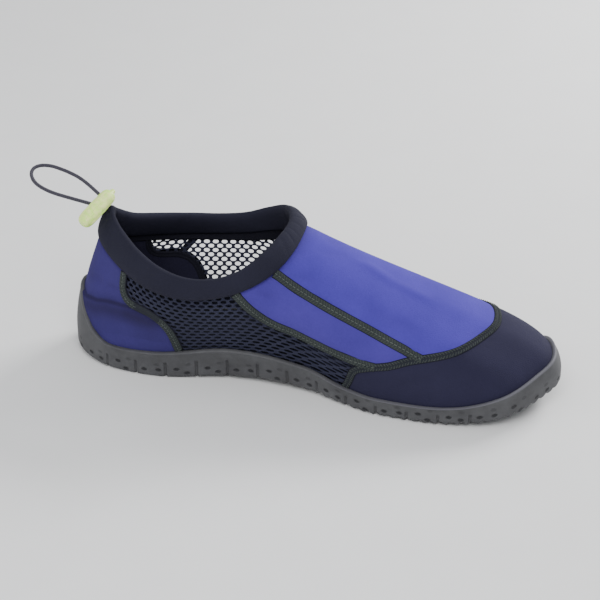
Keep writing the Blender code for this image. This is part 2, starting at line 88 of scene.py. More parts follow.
# Sole sections. Half widths are shares of the width there, rim heights shares of RIM_HEIGHT.
SOLE = table(
    "station inner outer rim_inner rim_outer",
    (0, 0, 0, 1560, 1560),
    (50, 133, 133, 1500, 1500),
    (100, 258, 258, 1200, 1200),
    (150, 358, 362, 780, 780),
    (200, 436, 451, 600, 600),
    (300, 489, 511, 670, 660),
    (400, 375, 522, 860, 760),
    (500, 366, 524, 700, 830),
    (550, 420, 530, 490, 740),
    (600, 472, 528, 420, 420),
    (700, 480, 461, 450, 380),
    (800, 395, 362, 700, 560),
    (900, 173, 239, 920, 900),
    (1000, 0, 0, 1000, 1000),
)

# Collar sections, from the back to the front of the opening. Half widths are shares of COLLAR_WIDTH
# at the top of the band and at its lower edge, dips shares of COLLAR_DIP, drops of BAND_HEIGHT.
COLLAR = table(
    "station top_inner top_outer low_inner low_outer dip_inner dip_outer drop_inner drop_outer",
    (0, 0, 0, 0, 0, 0, 0, 1260, 1260),
    (100, 56, 56, 96, 96, 210, 220, 1120, 1120),
    (200, 130, 140, 196, 203, 510, 540, 1040, 1040),
    (300, 254, 260, 328, 339, 720, 780, 1000, 1000),
    (400, 373, 367, 446, 452, 870, 960, 950, 950),
    (500, 441, 445, 497, 503, 960, 1080, 850, 850),
    (600, 463, 463, 495, 508, 880, 1000, 780, 850),
    (700, 429, 430, 452, 463, 650, 680, 720, 950),
    (800, 322, 318, 356, 362, 310, 290, 730, 1000),
    (900, 158, 162, 215, 215, 60, 30, 560, 700),
    (1000, 0, 0, 0, 0, 0, 0, 320, 320),
)

# Wall sections: the collar station over each sole station, then the two handles of the wall's curve.
# Rise, flare, bulge and lift are shares of the wall's height, reach is a share of its slant.
WALL = table(
    "station collar rise flare reach bulge lift",
    (0, 0, 360, 20, 200, 20, 0),
    (100, 120, 360, 20, 240, 20, 0),
    (200, 240, 340, 20, 280, 30, 0),
    (300, 410, 340, 40, 320, 50, 0),
    (400, 605, 340, 60, 360, 80, 0),
    (500, 768, 360, 60, 420, 100, 0),
    (600, 845, 360, 40, 500, 100, 0),
    (700, 900, 360, 20, 540, 60, 30),
    (800, 936, 340, 10, 580, 30, 50),
    (900, 968, 320, 0, 610, 10, 60),
    (1000, 1000, 310, 0, 620, 0, 60),
)


# Flat-lock seams over the panel joins, from one end to the other: thousandths of a turn and of the way up the wall
SEAMS = {
    "seam_vamp_inner": ((540, 1000), (596, 893), (640, 785), (680, 657), (708, 510)),
    "seam_vamp_outer": ((1410, 1000), (1362, 880), (1330, 770), (1306, 658), (1286, 490)),
    "seam_quarter_inner": ((430, 1000), (455, 763), (483, 600), (520, 515), (583, 415)),
    "seam_quarter_outer": ((1550, 1000), (1519, 710), (1478, 520), (1430, 450), (1402, 405)),
    "seam_heel_inner": ((221, 1000), (222, 800), (240, 700), (287, 680), (315, 520), (332, 100)),
    "seam_heel_outer": ((1779, 1000), (1778, 800), (1760, 700), (1713, 680), (1685, 520), (1668, 100)),
    "seam_toe_cap": (
        (552, 50), (578, 270), (605, 340), (645, 378), (700, 430), (800, 457), (900, 470), (1000, 472),
        (1100, 458), (1200, 436), (1290, 412), (1345, 380), (1390, 300), (1423, 100),
    ),
}

# The cord's loop in tenths of a mm from the middle of the lock, from one hole of the lock to the other
CORD_ROUTE = (
    (5, 75, 34), (-28, 96, 48), (-90, 134, 73), (-143, 160, 92), (-192, 177, 105), (-247, 189, 118),
    (-316, 198, 130), (-374, 190, 132), (-408, 165, 124), (-413, 129, 109), (-393, 94, 89), (-354, 65, 72),
    (-296, 45, 56), (-235, 34, 44), (-150, 27, 30), (-65, 20, 17), (-20, 16, 10),
)
LOCK_FROM_COLLAR = (-0.0066, -0.0072, 0.0016)
LOCK_AXIS = (0.413, 0.843, 0.344)


def bounded(share):
    """Share kept between 0 and 1."""
    return np.clip(share, 0.0, 1.0)


def smooth(share):
    """Soft step from 0 to 1."""
    share = bounded(share)
    return share * share * (3.0 - 2.0 * share)


def bell(gap, width):
    """Bell curve: 1 in the middle, falling off over a width."""
    return np.exp(-((gap / width) ** 2))


def curve_through(places, values, place):
    """Smooth curve through values at rising places."""
    last = len(places) - 1
    i = min(max(int(np.searchsorted(places, place, side="right")) - 1, 0), last - 1)

    def slope(k):
        a, b = max(k - 1, 0), min(k + 1, last)
        return (values[b] - values[a]) / (places[b] - places[a])

    step = places[i + 1] - places[i]
    t = (place - places[i]) / step
    return (
        (2 * t**3 - 3 * t**2 + 1) * values[i]
        + (t**3 - 2 * t**2 + t) * step * slope(i)
        + (3 * t**2 - 2 * t**3) * values[i + 1]
        + (t**3 - t**2) * step * slope(i + 1)
    )


def closed_ring(rows, inner, outer, mirror=1.0):
    """Places and values all round a ring, with one turn more at each end so that it closes."""
    stations = rows["station"]
    places = list(stations) + [2.0 - s for s in reversed(stations[:-1])]
    values = [v * mirror for v in rows[inner]] + list(reversed(rows[outer][:-1]))
    before = [(p - 2.0, v) for p, v in zip(places[-4:-1], values[-4:-1])]
    after = [(p + 2.0, v) for p, v in zip(places[1:4], values[1:4])]
    pairs = before + list(zip(places, values)) + after
    return [p for p, _ in pairs], [v for _, v in pairs]


SOLE_SIDE = closed_ring(SOLE, "inner", "outer", -1.0)
SOLE_RIM = closed_ring(SOLE, "rim_inner", "rim_outer")
TOP_SIDE = closed_ring(COLLAR, "top_inner", "top_outer", -1.0)
LOW_SIDE = closed_ring(COLLAR, "low_inner", "low_outer", -1.0)
COLLAR_DIPS = closed_ring(COLLAR, "dip_inner", "dip_outer")
COLLAR_DROPS = closed_ring(COLLAR, "drop_inner", "drop_outer")


def station_of(turn):
    """Share of the way from heel to toe, and the side: -1 inner, +1 outer."""
    turn = turn % 2.0
    return (turn, -1.0) if turn <= 1.0 else (2.0 - turn, 1.0)


def along(station):
    """Share of a length at a station, with stations crowding at the rounded ends."""
    return 0.5 - 0.5 * cos(pi * station)


def centre_y(x):
    """Middle line of the sole, which turns in towards the big toe."""
    return -TOE_TURN_IN * np.maximum((x / LENGTH - 0.35) / 0.65, 0.0) ** 2


def outline(turn):
    """Edge of the sole seen from above, before it is centred."""
    turn = turn % 2.0
    station, _ = station_of(turn)
    width = HEEL_WIDTH + (BALL_WIDTH - HEEL_WIDTH) * smooth((station - 0.3) / 0.3)
    x = LENGTH * along(station)
    return np.array([x, centre_y(x) + width * curve_through(*SOLE_SIDE, turn)])


def outline_middle():
    """Middle of the outline's box, where the origin goes."""
    points = np.array([outline(2.0 * i / 400) for i in range(400)])
    return (points.min(axis=0) + points.max(axis=0)) / 2.0


MIDDLE = outline_middle()


def outward(turn):
    """Unit vector square to the outline, away from the shoe."""
    step = outline(turn + 0.004) - outline(turn - 0.004)
    return np.array([step[1], -step[0]]) / np.hypot(*step)


def tread(x, y):
    """Underside of the sole over the floor: heel bevel, arch and toe spring between two flats."""
    u = x / LENGTH
    arch = np.maximum(1.0 - ((u - 0.42) / 0.20) ** 2, 0.0) ** 2
    lean = smooth(0.5 - (y - centre_y(x)) / (1.2 * HEEL_WIDTH))
    return (
        HEEL_BEVEL * np.maximum((0.14 - u) / 0.14, 0.0) ** 2
        + ARCH_LIFT * arch * (0.4 + 0.6 * lean)
        + TOE_SPRING * np.maximum((u - 0.72) / 0.28, 0.0) ** 2
    )


def rim_height(turn):
    """Top edge of the sole's wall, with the tab at the back of the heel."""
    return RIM_HEIGHT * curve_through(*SOLE_RIM, turn % 2.0)


def inset_point(turn, inset, above=0.0):
    """Point inside the sole's outline by an inset, and above the underside there."""
    x, y = outline(turn) - outward(turn) * inset
    return np.array([x, y, tread(x, y) + above])


def collar_station(turn):
    """Place on the collar over a place on the sole."""
    station, _ = station_of(turn)
    share = curve_through(WALL["station"], WALL["collar"], station)
    return share if turn % 2.0 <= 1.0 else 2.0 - share


def collar_lines(turn):
    """Top of the collar band and the lower outer edge of it, at one place round the shoe."""
    place = collar_station(turn)
    station, _ = station_of(place)
    band = BAND_HEIGHT * curve_through(*COLLAR_DROPS, place)
    top_z = HEEL_HEIGHT + (INSTEP_HEIGHT - HEEL_HEIGHT) * station
    top_z -= COLLAR_DIP * curve_through(*COLLAR_DIPS, place)
    top_x = COLLAR_BACK + COLLAR_LENGTH * along(station)
    low_x = top_x - BAND_SPREAD * cos(pi * station)
    top = np.array([top_x, COLLAR_WIDTH * curve_through(*TOP_SIDE, place), top_z])
    low = np.array([low_x, COLLAR_WIDTH * curve_through(*LOW_SIDE, place), top_z - band])
    return top, low


def unit(vector):
    return vector / np.linalg.norm(vector)


HALF_BAND = BAND_LAYER + GAP + UPPER_WALL / 2.0


def collar_frame(turn):
    """Foot of the band's middle surface, the way up the band, the way out of it, and its height."""
    top, low = collar_lines(turn)
    low_next, low_last = collar_lines(turn + 0.01)[1], collar_lines(turn - 0.01)[1]
    tangent = unit(low_next - low_last)
    out = unit(np.cross(tangent, top - low))
    foot = low - out * HALF_BAND
    up = unit(top - foot)
    out = unit(out - up * np.dot(out, up))
    return foot, up, out, float(np.linalg.norm(top - foot))


def wall_curve(turn):
    """Four handles of the wall's outer curve, from the floor of the sole to the collar's lower edge."""
    station, _ = station_of(turn)
    foot, _, out, _ = collar_frame(turn)
    end = foot + out * UPPER_WALL / 2.0
    start = inset_point(turn, SOLE_WALL + GAP, SOLE_FLOOR + GAP)
    height = end[2] - start[2]
    names = ("rise", "flare", "reach", "bulge", "lift")
    rise, flare, reach, bulge, lift = (curve_through(WALL["station"], WALL[k], station) for k in names)
    away = np.array([*outward(turn), 0.0])
    upright = np.array([0.0, 0.0, 1.0])
    first = start + (upright * rise + away * flare) * height
    second = end + (start - end) * reach + (upright * lift + away * bulge) * height
    return start, first, second, end


# Counts of points and rows
FINE = 1200
WALL_COLUMNS = 520
WALL_LEVELS = 64
NET_COLUMNS = 400
MESH_ROWS = 35
ROLL_COLUMNS = 480
ROLL_STEPS = 36
FACING_COLUMNS = 300
FACING_ROWS = 8
INNER_TAPE_STEPS = 30
BED_COLUMNS = 240
TREAD_STRIPS = 56
LOCK_AROUND = 144
EYELET_RINGS = (24, 8)

# Sizes of the looks
MESH_PITCH = 0.0052
MESH_ROW = 0.0027
MESH_HOLE = (0.0038, 0.0026)
MESH_HOLE_POWER = 1.25
MESH_SINK = 0.0007
MESH_THICKNESS = 0.0010
THREAD = 0.00022
STITCH_PITCH = 0.0016
LONG_STITCH = 0.0024
PUFF = 0.0004
PUFF_REACH = 0.0040
COUNTER_STEP = 0.0016
COUNTER_HEIGHT = 0.0190
FOLD_DEPTH = 0.0009
FOLD_WIDTH = 0.0028
LINING_STRIP = 0.89
SHEET_GAP = 0.0003
TOOTH_PITCH = 0.0059
TOOTH_DEPTH = 0.0007
TOOTH_RISE = 0.0012
LIP_BEAD = 0.0003
SIPE_DEPTH = 0.0009
SIPE_WAVE = 0.0014
HEEL_DISH = 0.0008
BRAID_PITCH = 0.00085
LOCK_GROOVES = (0.2, 1.25, 2.3, 3.35, 4.4, 5.45)
LOCK_GROOVE_DEPTH = 0.085
LOCK_GROOVE_SPREAD = 0.13

# Places of the grooves across the sole
GROOVES = GROOVE_PITCH * (np.arange(1, int(GROOVED_SHARE * LENGTH / GROOVE_PITCH) + 1) + GROOVE_START)


def ring_table(rule):
    return np.array([rule(2.0 * i / FINE) for i in range(FINE)])


HANDLES = ring_table(wall_curve)
FRAMES = ring_table(lambda t: collar_frame(t)[:3])
BAND_HEIGHTS = ring_table(lambda t: collar_frame(t)[3])
EDGES = ring_table(outline)
EDGE_OUT = ring_table(outward)
RIMS = ring_table(rim_height)


def sample(rows, turns):
    """Values of a table round the shoe, at any turns."""
    place = np.mod(turns, 2.0) / 2.0 * FINE
    low = np.floor(place).astype(int)
    part = (place - low).reshape(place.shape + (1,) * (rows.ndim - 1))
    return rows[low % FINE] * (1.0 - part) + rows[(low + 1) % FINE] * part


def wall(turns, shares):
    """Outer surface of the upper for arrays of turns and shares."""
    turns, shares = np.broadcast_arrays(np.asarray(turns, float), np.asarray(shares, float))
    hands = sample(HANDLES, turns)
    s = np.minimum(shares, 1.0)[..., None]
    r = 1.0 - s
    point = r**3 * hands[..., 0, :] + 3 * r * r * s * hands[..., 1, :]
    point += 3 * r * s * s * hands[..., 2, :] + s**3 * hands[..., 3, :]
    return point + sample(FRAMES, turns)[..., 1, :] * np.maximum(shares - 1.0, 0.0)[..., None]


def units(vectors):
    return vectors / np.maximum(np.linalg.norm(vectors, axis=-1, keepdims=True), 1e-12)


def wall_out(turns, shares):
    """Ways out of the wall."""
    turns, shares = np.broadcast_arrays(np.asarray(turns, float), np.asarray(shares, float))
    s = bounded(shares)
    up = wall(turns, np.minimum(s + 0.02, 1.0)) - wall(turns, np.maximum(s - 0.02, 0.0))
    along_it = wall(turns + 0.006, s) - wall(turns - 0.006, s)
    return units(np.cross(along_it, up))


def raised(turns, shares, offset):
    return wall(turns, shares) + wall_out(turns, shares) * np.asarray(offset, float)[..., None]


def slant_at(turns):
    """Straight length up the wall."""
    hands = sample(HANDLES, turns)
    return np.linalg.norm(hands[..., 3, :] - hands[..., 0, :], axis=-1)


def share_at(turns, heights):
    """Share up the wall at which it reaches a height."""
    low, high = np.zeros(np.shape(turns)), np.ones(np.shape(turns))
    for _ in range(18):
        middle = (low + high) / 2.0
        under = wall(turns, middle)[..., 2] < heights
        low, high = np.where(under, middle, low), np.where(under, high, middle)
    return low


def runs_of(points):
    """Length run along a path up to each of its points."""
    return np.concatenate([[0.0], np.cumsum(np.linalg.norm(np.diff(points, axis=0), axis=1))])


def off_line(points, start, end):
    """Share along a straight line nearest to each point, and the distance from the line."""
    way = end - start
    part = bounded(((points - start) @ way) / (way @ way))
    return part, np.linalg.norm(points - start - part[..., None] * way, axis=-1)


def seam_line(knots, count=90):
    """Turns and shares along a seam."""
    steps = list(range(len(knots)))
    places = np.linspace(0.0, len(knots) - 1.0, count)
    return [np.array([curve_through(steps, [k[i] / 1000 for k in knots], p) for p in places]) for i in (0, 1)]


LINES = {name: seam_line(knots) for name, knots in SEAMS.items()}
JOIN_ENDS = {
    "seam_quarter_inner": (0.621, 0.355),
    "seam_quarter_outer": (1.366, 0.345),
    "seam_vamp_inner": (0.718, 0.435),
    "seam_vamp_outer": (1.277, 0.415),
}


def join_turn(name, shares):
    """Turn of a panel join at a share up the wall."""
    turns, heights = LINES[name]
    if name in JOIN_ENDS:
        turns = np.append(turns, JOIN_ENDS[name][0])
        heights = np.append(heights, JOIN_ENDS[name][1])
    order = np.argsort(heights)
    return np.interp(shares, heights[order], turns[order])


HEEL, MESH_IN, SIDE_IN, VAMP, SIDE_OUT, MESH_OUT, TOE = range(7)


def panel_at(turns, shares):
    """Which panel of the upper lies at a place."""
    kind = np.full(np.shape(turns), MESH_OUT)
    order = (
        ("seam_quarter_outer", SIDE_OUT), ("seam_vamp_outer", VAMP), ("seam_vamp_inner", SIDE_IN),
        ("seam_quarter_inner", MESH_IN), ("seam_heel_inner", HEEL),
    )
    for name, panel in order:
        kind = np.where(turns < join_turn(name, shares), panel, kind)
    kind = np.where(turns > join_turn("seam_heel_outer", shares), HEEL, kind)
    cap_turns, cap_shares = LINES["seam_toe_cap"]
    under = shares < np.interp(turns, cap_turns, cap_shares, left=-1.0, right=-1.0)
    return np.where(under, TOE, kind)


def seam_tree():
    points = []
    for turns, shares in LINES.values():
        points += list(wall(turns, shares))
    tree = kdtree.KDTree(len(points))
    for i, point in enumerate(points):
        tree.insert(point, i)
    tree.balance()
    return tree


SEAM_TREE = seam_tree()

# Creases pressed into the cloth: start and end as turn and share, half width and depth in mm, all in thousandths
CREASES = table(
    "turn_a share_a turn_b share_b half_width depth",
    (60, 585, 150, 700, 2600, 550), (165, 690, 212, 760, 1800, 450), (226, 560, 300, 610, 4500, 800),
    (235, 470, 290, 520, 3500, 400), (60, 300, 140, 260, 3000, 300), (1940, 585, 1850, 700, 2600, 550),
    (1774, 560, 1700, 610, 4500, 700), (470, 950, 520, 840, 2200, 400), (600, 960, 690, 900, 2600, 450),
    (640, 840, 680, 740, 2000, 300), (860, 955, 980, 900, 3200, 400), (1020, 930, 1130, 960, 3000, 400),
    (740, 740, 790, 600, 3200, 300), (1300, 930, 1350, 840, 2600, 400), (1460, 930, 1500, 800, 2400, 350),
    (981, 873, 929, 784, 3400, -1000), (929, 784, 929, 670, 3200, -900), (640, 230, 720, 330, 3000, 250),
    (1330, 230, 1260, 330, 3000, 250),
)
STEP_LINE = table(
    "turn share",
    (0, 440), (83, 425), (143, 495), (183, 573), (217, 623), (251, 662), (300, 690),
)


def crease_depth(points):
    """How far the creases sink each point of the cloth."""
    sunk = np.zeros(points.shape[:-1])
    for ta, sa, tb, sb, half, depth in zip(*CREASES.values()):
        part, away = off_line(points, wall(ta, sa), wall(tb, sb))
        taper = np.sqrt(np.maximum(4.0 * part * (1.0 - part), 0.0)) * 0.85 + 0.15
        sunk += depth * 0.001 * taper * bell(away, half * 0.001)
    return sunk


def heel_fold(points):
    """Folds of the heel's lining: an upturned V under the collar."""
    lift = np.zeros(points.shape[:-1])
    for a, b in (((0.0, 0.80), (0.17, 0.45)), ((2.0, 0.80), (1.83, 0.45)), ((0.10, 0.88), (0.24, 0.66))):
        part, away = off_line(points, wall(*a), wall(*b))
        lift -= FOLD_DEPTH * bell(away, FOLD_WIDTH) * (1.0 - part**4)
    return lift


def cloth_height(turns, shares, points):
    """Height of the cloth over the plain wall, and the painted shade on it: puffed panels, heel counter, creases. The
    painted shade darkens a band under the counter's step, the creases, and the top of the wall under the collar.
    """
    away = np.array([SEAM_TREE.find(p)[2] for p in points.reshape(-1, 3)]).reshape(turns.shape)
    high = PUFF * (1.0 - bell(away, PUFF_REACH))
    folded = np.where(turns > 1.0, 2.0 - turns, turns)
    line = np.interp(folded, STEP_LINE["turn"], STEP_LINE["share"])
    gap = (line - shares) * slant_at(turns)
    step = bounded(gap / 0.0009) * bounded((COUNTER_HEIGHT - gap) / 0.010)
    heel = (panel_at(turns, shares) == HEEL) * bounded((0.34 - folded) / 0.04)
    high += COUNTER_STEP * step * heel * (1.0 - np.exp(-((away / 0.0045) ** 4)))
    edge = bounded((shares - 0.955) / 0.045)
    sunk = crease_depth(points)
    # Painted shade: a band below the heel counter's step and a thin line at the step, the creases, and the top of the
    # wall under the collar roll.
    painted_shade = heel * (0.60 * bell(gap - 0.0045, 0.0052) + 0.5 * bell(gap - 0.0002, 0.0009))
    painted_shade += np.clip(0.15 * sunk / 0.0006, 0.0, 0.15) + 0.45 * edge**3
    return high - sunk - 0.0006 * edge**2, bounded(painted_shade)


# Nodes of the materials
class Nodes:
    """A material's node tree with short ways to add and join nodes."""

    def __init__(self, name):
        self.made = bpy.data.materials.new(name)
        self.made.use_nodes = True
        self.tree = self.made.node_tree
        self.shader = self.tree.nodes["Principled BSDF"]

    def add(self, kind, inputs=None, **settings):
        node = self.tree.nodes.new(kind)
        for key, value in settings.items():
            setattr(node, key, value)
        for key, value in (inputs or {}).items():
            self.put(node.inputs[key], value)
        return node

    def put(self, socket, value):
        if isinstance(value, bpy.types.NodeSocket):
            self.tree.links.new(value, socket)
        elif isinstance(value, tuple) and len(value) == 3 and socket.type == "RGBA":
            socket.default_value = (*value, 1.0)
        else:
            socket.default_value = value

    def calc(self, operation, *values, clamp=False):
        node = self.add("ShaderNodeMath", dict(enumerate(values)), operation=operation, use_clamp=clamp)
        return node.outputs[0]

    def times(self, a, b):
        return self.calc("MULTIPLY", a, b)

    def plus(self, a, b):
        return self.calc("ADD", a, b)

    def mix(self, share, a, b):
        node = self.add("ShaderNodeMix", data_type="RGBA")
        for index, value in ((0, share), (6, a), (7, b)):
            self.put(node.inputs[index], value)
        return node.outputs[2]

    def noise(self, where, scale, detail=3.0, rough=0.5):
        inputs = {"Vector": where, "Scale": scale, "Detail": detail, "Roughness": rough}
        return self.add("ShaderNodeTexNoise", inputs).outputs[0]

    def ramp(self, value, low, high):
        """Value stretched so that low gives 0 and high gives 1."""
        inputs = {"Value": value, "From Min": low, "From Max": high}
        return self.add("ShaderNodeMapRange", inputs).outputs[0]

    def place(self):
        return self.add("ShaderNodeTexCoord").outputs["Object"]

    def mark(self, name):
        """Value kept on the piece's points."""
        return self.add("ShaderNodeAttribute", attribute_name=name).outputs["Fac"]

    def side(self):
        """The two measures kept as the piece's map."""
        uv = self.add("ShaderNodeUVMap", uv_map="side").outputs[0]
        split = self.add("ShaderNodeSeparateXYZ", {"Vector": uv}).outputs
        return split[0], split[1]

    def bump(self, height, strength, distance, under=None):
        inputs = {"Height": height, "Strength": strength, "Distance": distance}
        if under is not None:
            inputs["Normal"] = under
        return self.add("ShaderNodeBump", inputs).outputs[0]

    def finish(self, **inputs):
        for key, value in inputs.items():
            self.put(self.shader.inputs[key.replace("_", " ")], value)
        return self.made


def cloth(name, dark, light, knit=1500.0, nap=0.06):
    """Stretch knit over foam: fine knit in the bump, soft blotches in the colour, a little nap, and painted shade
    darkening it where its points carry it.
    """
    n = Nodes(name)
    at = n.place()
    blotch, fleck = n.noise(at, 38.0, 4.0, 0.55), n.noise(at, 900.0, 2.0, 0.6)
    tone = n.plus(n.times(blotch, 0.65), n.times(fleck, 0.35))
    colour = n.mix(n.ramp(tone, 0.28, 0.72), dark, light)
    # Painted shade: the colour darkened where the cloth's points carry it.
    colour = n.mix(n.mark("painted_shade"), colour, tuple(v * k for v, k in zip(dark, (0.42, 0.42, 0.30))))
    rows = n.add("ShaderNodeTexVoronoi", {"Vector": at, "Scale": knit, "Randomness": 0.55}).outputs[0]
    soft = n.bump(n.noise(at, 140.0, 3.0), 0.25, 0.0008)
    return n.finish(
        Base_Color=colour, Roughness=n.plus(0.87, n.times(fleck, 0.1)), Normal=n.bump(rows, 0.35, 0.00035, soft),
        Sheen_Weight=nap, Sheen_Roughness=0.5, Sheen_Tint=light, Specular_IOR_Level=0.25,
    )


# Pits of each length between two grooves: place along it, height and shift in mm, strength
PITS = ((0.34, 5.6, 1.1, 1.0), (0.72, 3.9, -1.2, 1.0), (0.74, 8.9, 0.5, 0.35))
PIT_HALF = (1.35, 0.90)


def rubber():
    """Moulded rubber of the sole, with the pits of its side in the shoe's own measure, pressed in by a bump and
    darkened with painted shade; a painted highlight lightens its top lip.
    """
    n = Nodes("sole_rubber")
    at = n.place()
    run, rise = n.side()
    part = n.calc("FRACT", run)
    turned = n.calc("SINE", n.times(n.calc("FLOOR", run), 2.4))
    pits = None
    for where, high, shift, strength in PITS:
        across = n.calc("SUBTRACT", part, n.plus(n.times(turned, 0.05 * shift), where))
        across = n.times(across, GROOVE_PITCH * 1000.0 / PIT_HALF[0])
        up = n.calc("SUBTRACT", rise, n.plus(n.times(turned, shift), high))
        up = n.calc("DIVIDE", up, PIT_HALF[1])
        away = n.calc("SQRT", n.plus(n.times(across, across), n.times(up, up)))
        pit = n.times(n.ramp(away, 1.45, 0.80), strength)
        pits = pit if pits is None else n.calc("MAXIMUM", pits, pit)
    scuff = n.noise(at, 70.0, 5.0, 0.65)
    base = n.mix(n.ramp(scuff, 0.35, 0.68), (0.045, 0.045, 0.049), (0.074, 0.075, 0.080))
    # Painted highlight: lighter rubber along the sole's top lip.
    base = n.mix(n.mark("lip"), base, (0.105, 0.104, 0.122))
    pressed = n.bump(n.calc("SUBTRACT", 1.0, pits), 0.8, 0.0008)
    return n.finish(
        # Painted shade: the pits darkened to near black towards their middles.
        Base_Color=n.mix(pits, base, (0.009, 0.009, 0.012)), Roughness=n.plus(0.52, n.times(scuff, 0.22)),
        Normal=n.bump(n.noise(at, 900.0, 3.0, 0.6), 0.28, 0.0003, pressed), Specular_IOR_Level=0.42,
    )


def plastic(name, dark, light):
    """Moulded plastic, a little cloudy."""
    n = Nodes(name)
    at = n.place()
    cloud = n.noise(at, 420.0, 3.0)
    return n.finish(
        Base_Color=n.mix(n.ramp(cloud, 0.35, 0.65), dark, light),
        Roughness=n.plus(0.38, n.times(n.noise(at, 1500.0, 2.0), 0.15)), Normal=n.bump(cloud, 0.45, 0.0008),
        Subsurface_Weight=0.06, Subsurface_Radius=(0.004, 0.005, 0.002), Coat_Weight=0.12, Coat_Roughness=0.25,
    )


def braid(name, dark, light):
    """Braided cover of the cord."""
    n = Nodes(name)
    run, turn = (n.times(part, scale) for part, scale in zip(n.side(), (5200.0, 12.0)))
    one, two = (n.calc("SINE", n.calc(kind, run, turn)) for kind in ("ADD", "SUBTRACT"))
    high = n.calc("ADD", n.times(n.calc("MAXIMUM", one, two), 0.5), 0.5, clamp=True)
    return n.finish(
        Base_Color=n.mix(n.times(high, n.noise(n.place(), 2500.0, 3.0)), dark, light), Roughness=0.72,
        Normal=n.bump(high, 0.6, 0.0003), Sheen_Weight=0.2, Specular_IOR_Level=0.3,
    )


def backdrop():
    n = Nodes("studio_floor")
    fine = n.noise(n.place(), 30.0, 4.0)
    return n.finish(Base_Color=n.mix(fine, (0.80, 0.80, 0.80), (0.84, 0.84, 0.84)), Roughness=0.9)


BLUE = cloth("blue_vamp", (0.050, 0.034, 0.290), (0.072, 0.050, 0.380))
BLUE_SIDE = cloth("blue_side", (0.046, 0.031, 0.235), (0.066, 0.045, 0.305))
BLUE_HEEL = cloth("blue_heel", (0.028, 0.021, 0.112), (0.040, 0.030, 0.154))
NAVY = cloth("navy_toe", (0.0140, 0.0130, 0.034), (0.0205, 0.0190, 0.047))
COLLAR_CLOTH = cloth("navy_collar", (0.0110, 0.0110, 0.022), (0.0165, 0.0165, 0.032), nap=0.08)
LINING = cloth("dark_lining", (0.006, 0.006, 0.012), (0.010, 0.010, 0.019), nap=0.03)
LINING_BLUE = cloth("heel_lining", (0.0105, 0.0095, 0.0248), (0.0179, 0.0168, 0.0384), nap=0.04)
NET = cloth("mesh_net", (0.017, 0.018, 0.036), (0.032, 0.034, 0.064), knit=2600.0, nap=0.03)
TAPE = cloth("seam_tape", (0.023, 0.028, 0.029), (0.038, 0.045, 0.045), knit=2200.0, nap=0.03)
TAPE_DARK = cloth("seam_tape_dark", (0.014, 0.016, 0.022), (0.022, 0.025, 0.032), knit=2200.0, nap=0.03)
STITCH = cloth("stitch_thread", (0.042, 0.051, 0.048), (0.066, 0.078, 0.072), knit=3000.0, nap=0.03)
STITCH_LIGHT = cloth("light_thread", (0.085, 0.100, 0.092), (0.125, 0.142, 0.130), knit=3000.0, nap=0.03)
FOOTBED = cloth("footbed_cloth", (0.005, 0.006, 0.010), (0.010, 0.011, 0.017), nap=0.04)
RUBBER = rubber()
LOCK = plastic("lock_plastic", (0.660, 0.990, 0.200), (0.880, 1.000, 0.380))
BUTTON = plastic("lock_button", (0.070, 0.220, 0.010), (0.120, 0.300, 0.020))
CORD = braid("cord_braid", (0.020, 0.018, 0.028), (0.085, 0.080, 0.110))
FLOOR = backdrop()


# Pieces
def to_row(points):
    return np.asarray(points, float) - np.array([MIDDLE[0], MIDDLE[1], 0.0])


def add_object(name, data):
    made = bpy.data.objects.new(name, data)
    bpy.context.scene.collection.objects.link(made)
    return made


def make_piece(name, points, faces, finishes, nodes, kinds=None, side=None, marks=None, centre=True):
    """Object from points in the part's frame, riding on the shoe."""
    data = bpy.data.meshes.new(name)
    points = np.asarray(points, float).reshape(-1, 3)
    points = to_row(points) if centre else points
    data.from_pydata([tuple(p) for p in points], [], [tuple(int(i) for i in f) for f in faces])
    for finish in finishes:
        data.materials.append(finish)
    if kinds is not None:
        data.polygons.foreach_set("material_index", [int(k) for k in kinds])
    data.polygons.foreach_set("use_smooth", [True] * len(data.polygons))
    if side is not None:
        corners = np.zeros(len(data.loops), int)
        data.loops.foreach_get("vertex_index", corners)
        data.uv_layers.new(name="side").data.foreach_set("uv", np.asarray(side, float)[corners].ravel())
    for mark, values in (marks or {}).items():
        data.attributes.new(mark, "FLOAT", "POINT").data.foreach_set("value", np.ravel(values).astype(float))
    data.update()
    made = add_object(name, data)
    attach(made, "root")
    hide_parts(*nodes)
    return made


def grid_faces(rows, columns, round_it=True, start=0, flip=False, closed=False):
    """Quads of a grid of points stored row after row; closed joins its last row to its first."""
    i, j = np.mgrid[:rows if closed else rows - 1, :columns if round_it else columns - 1]
    low, high, k = start + i * columns, start + (i + 1) % rows * columns, (j + 1) % columns
    quads = np.stack([low + j, low + k, high + k, high + j], axis=-1).reshape(-1, 4)
    return [tuple(q) for q in quads[:, ::-1 if flip else 1].tolist()]


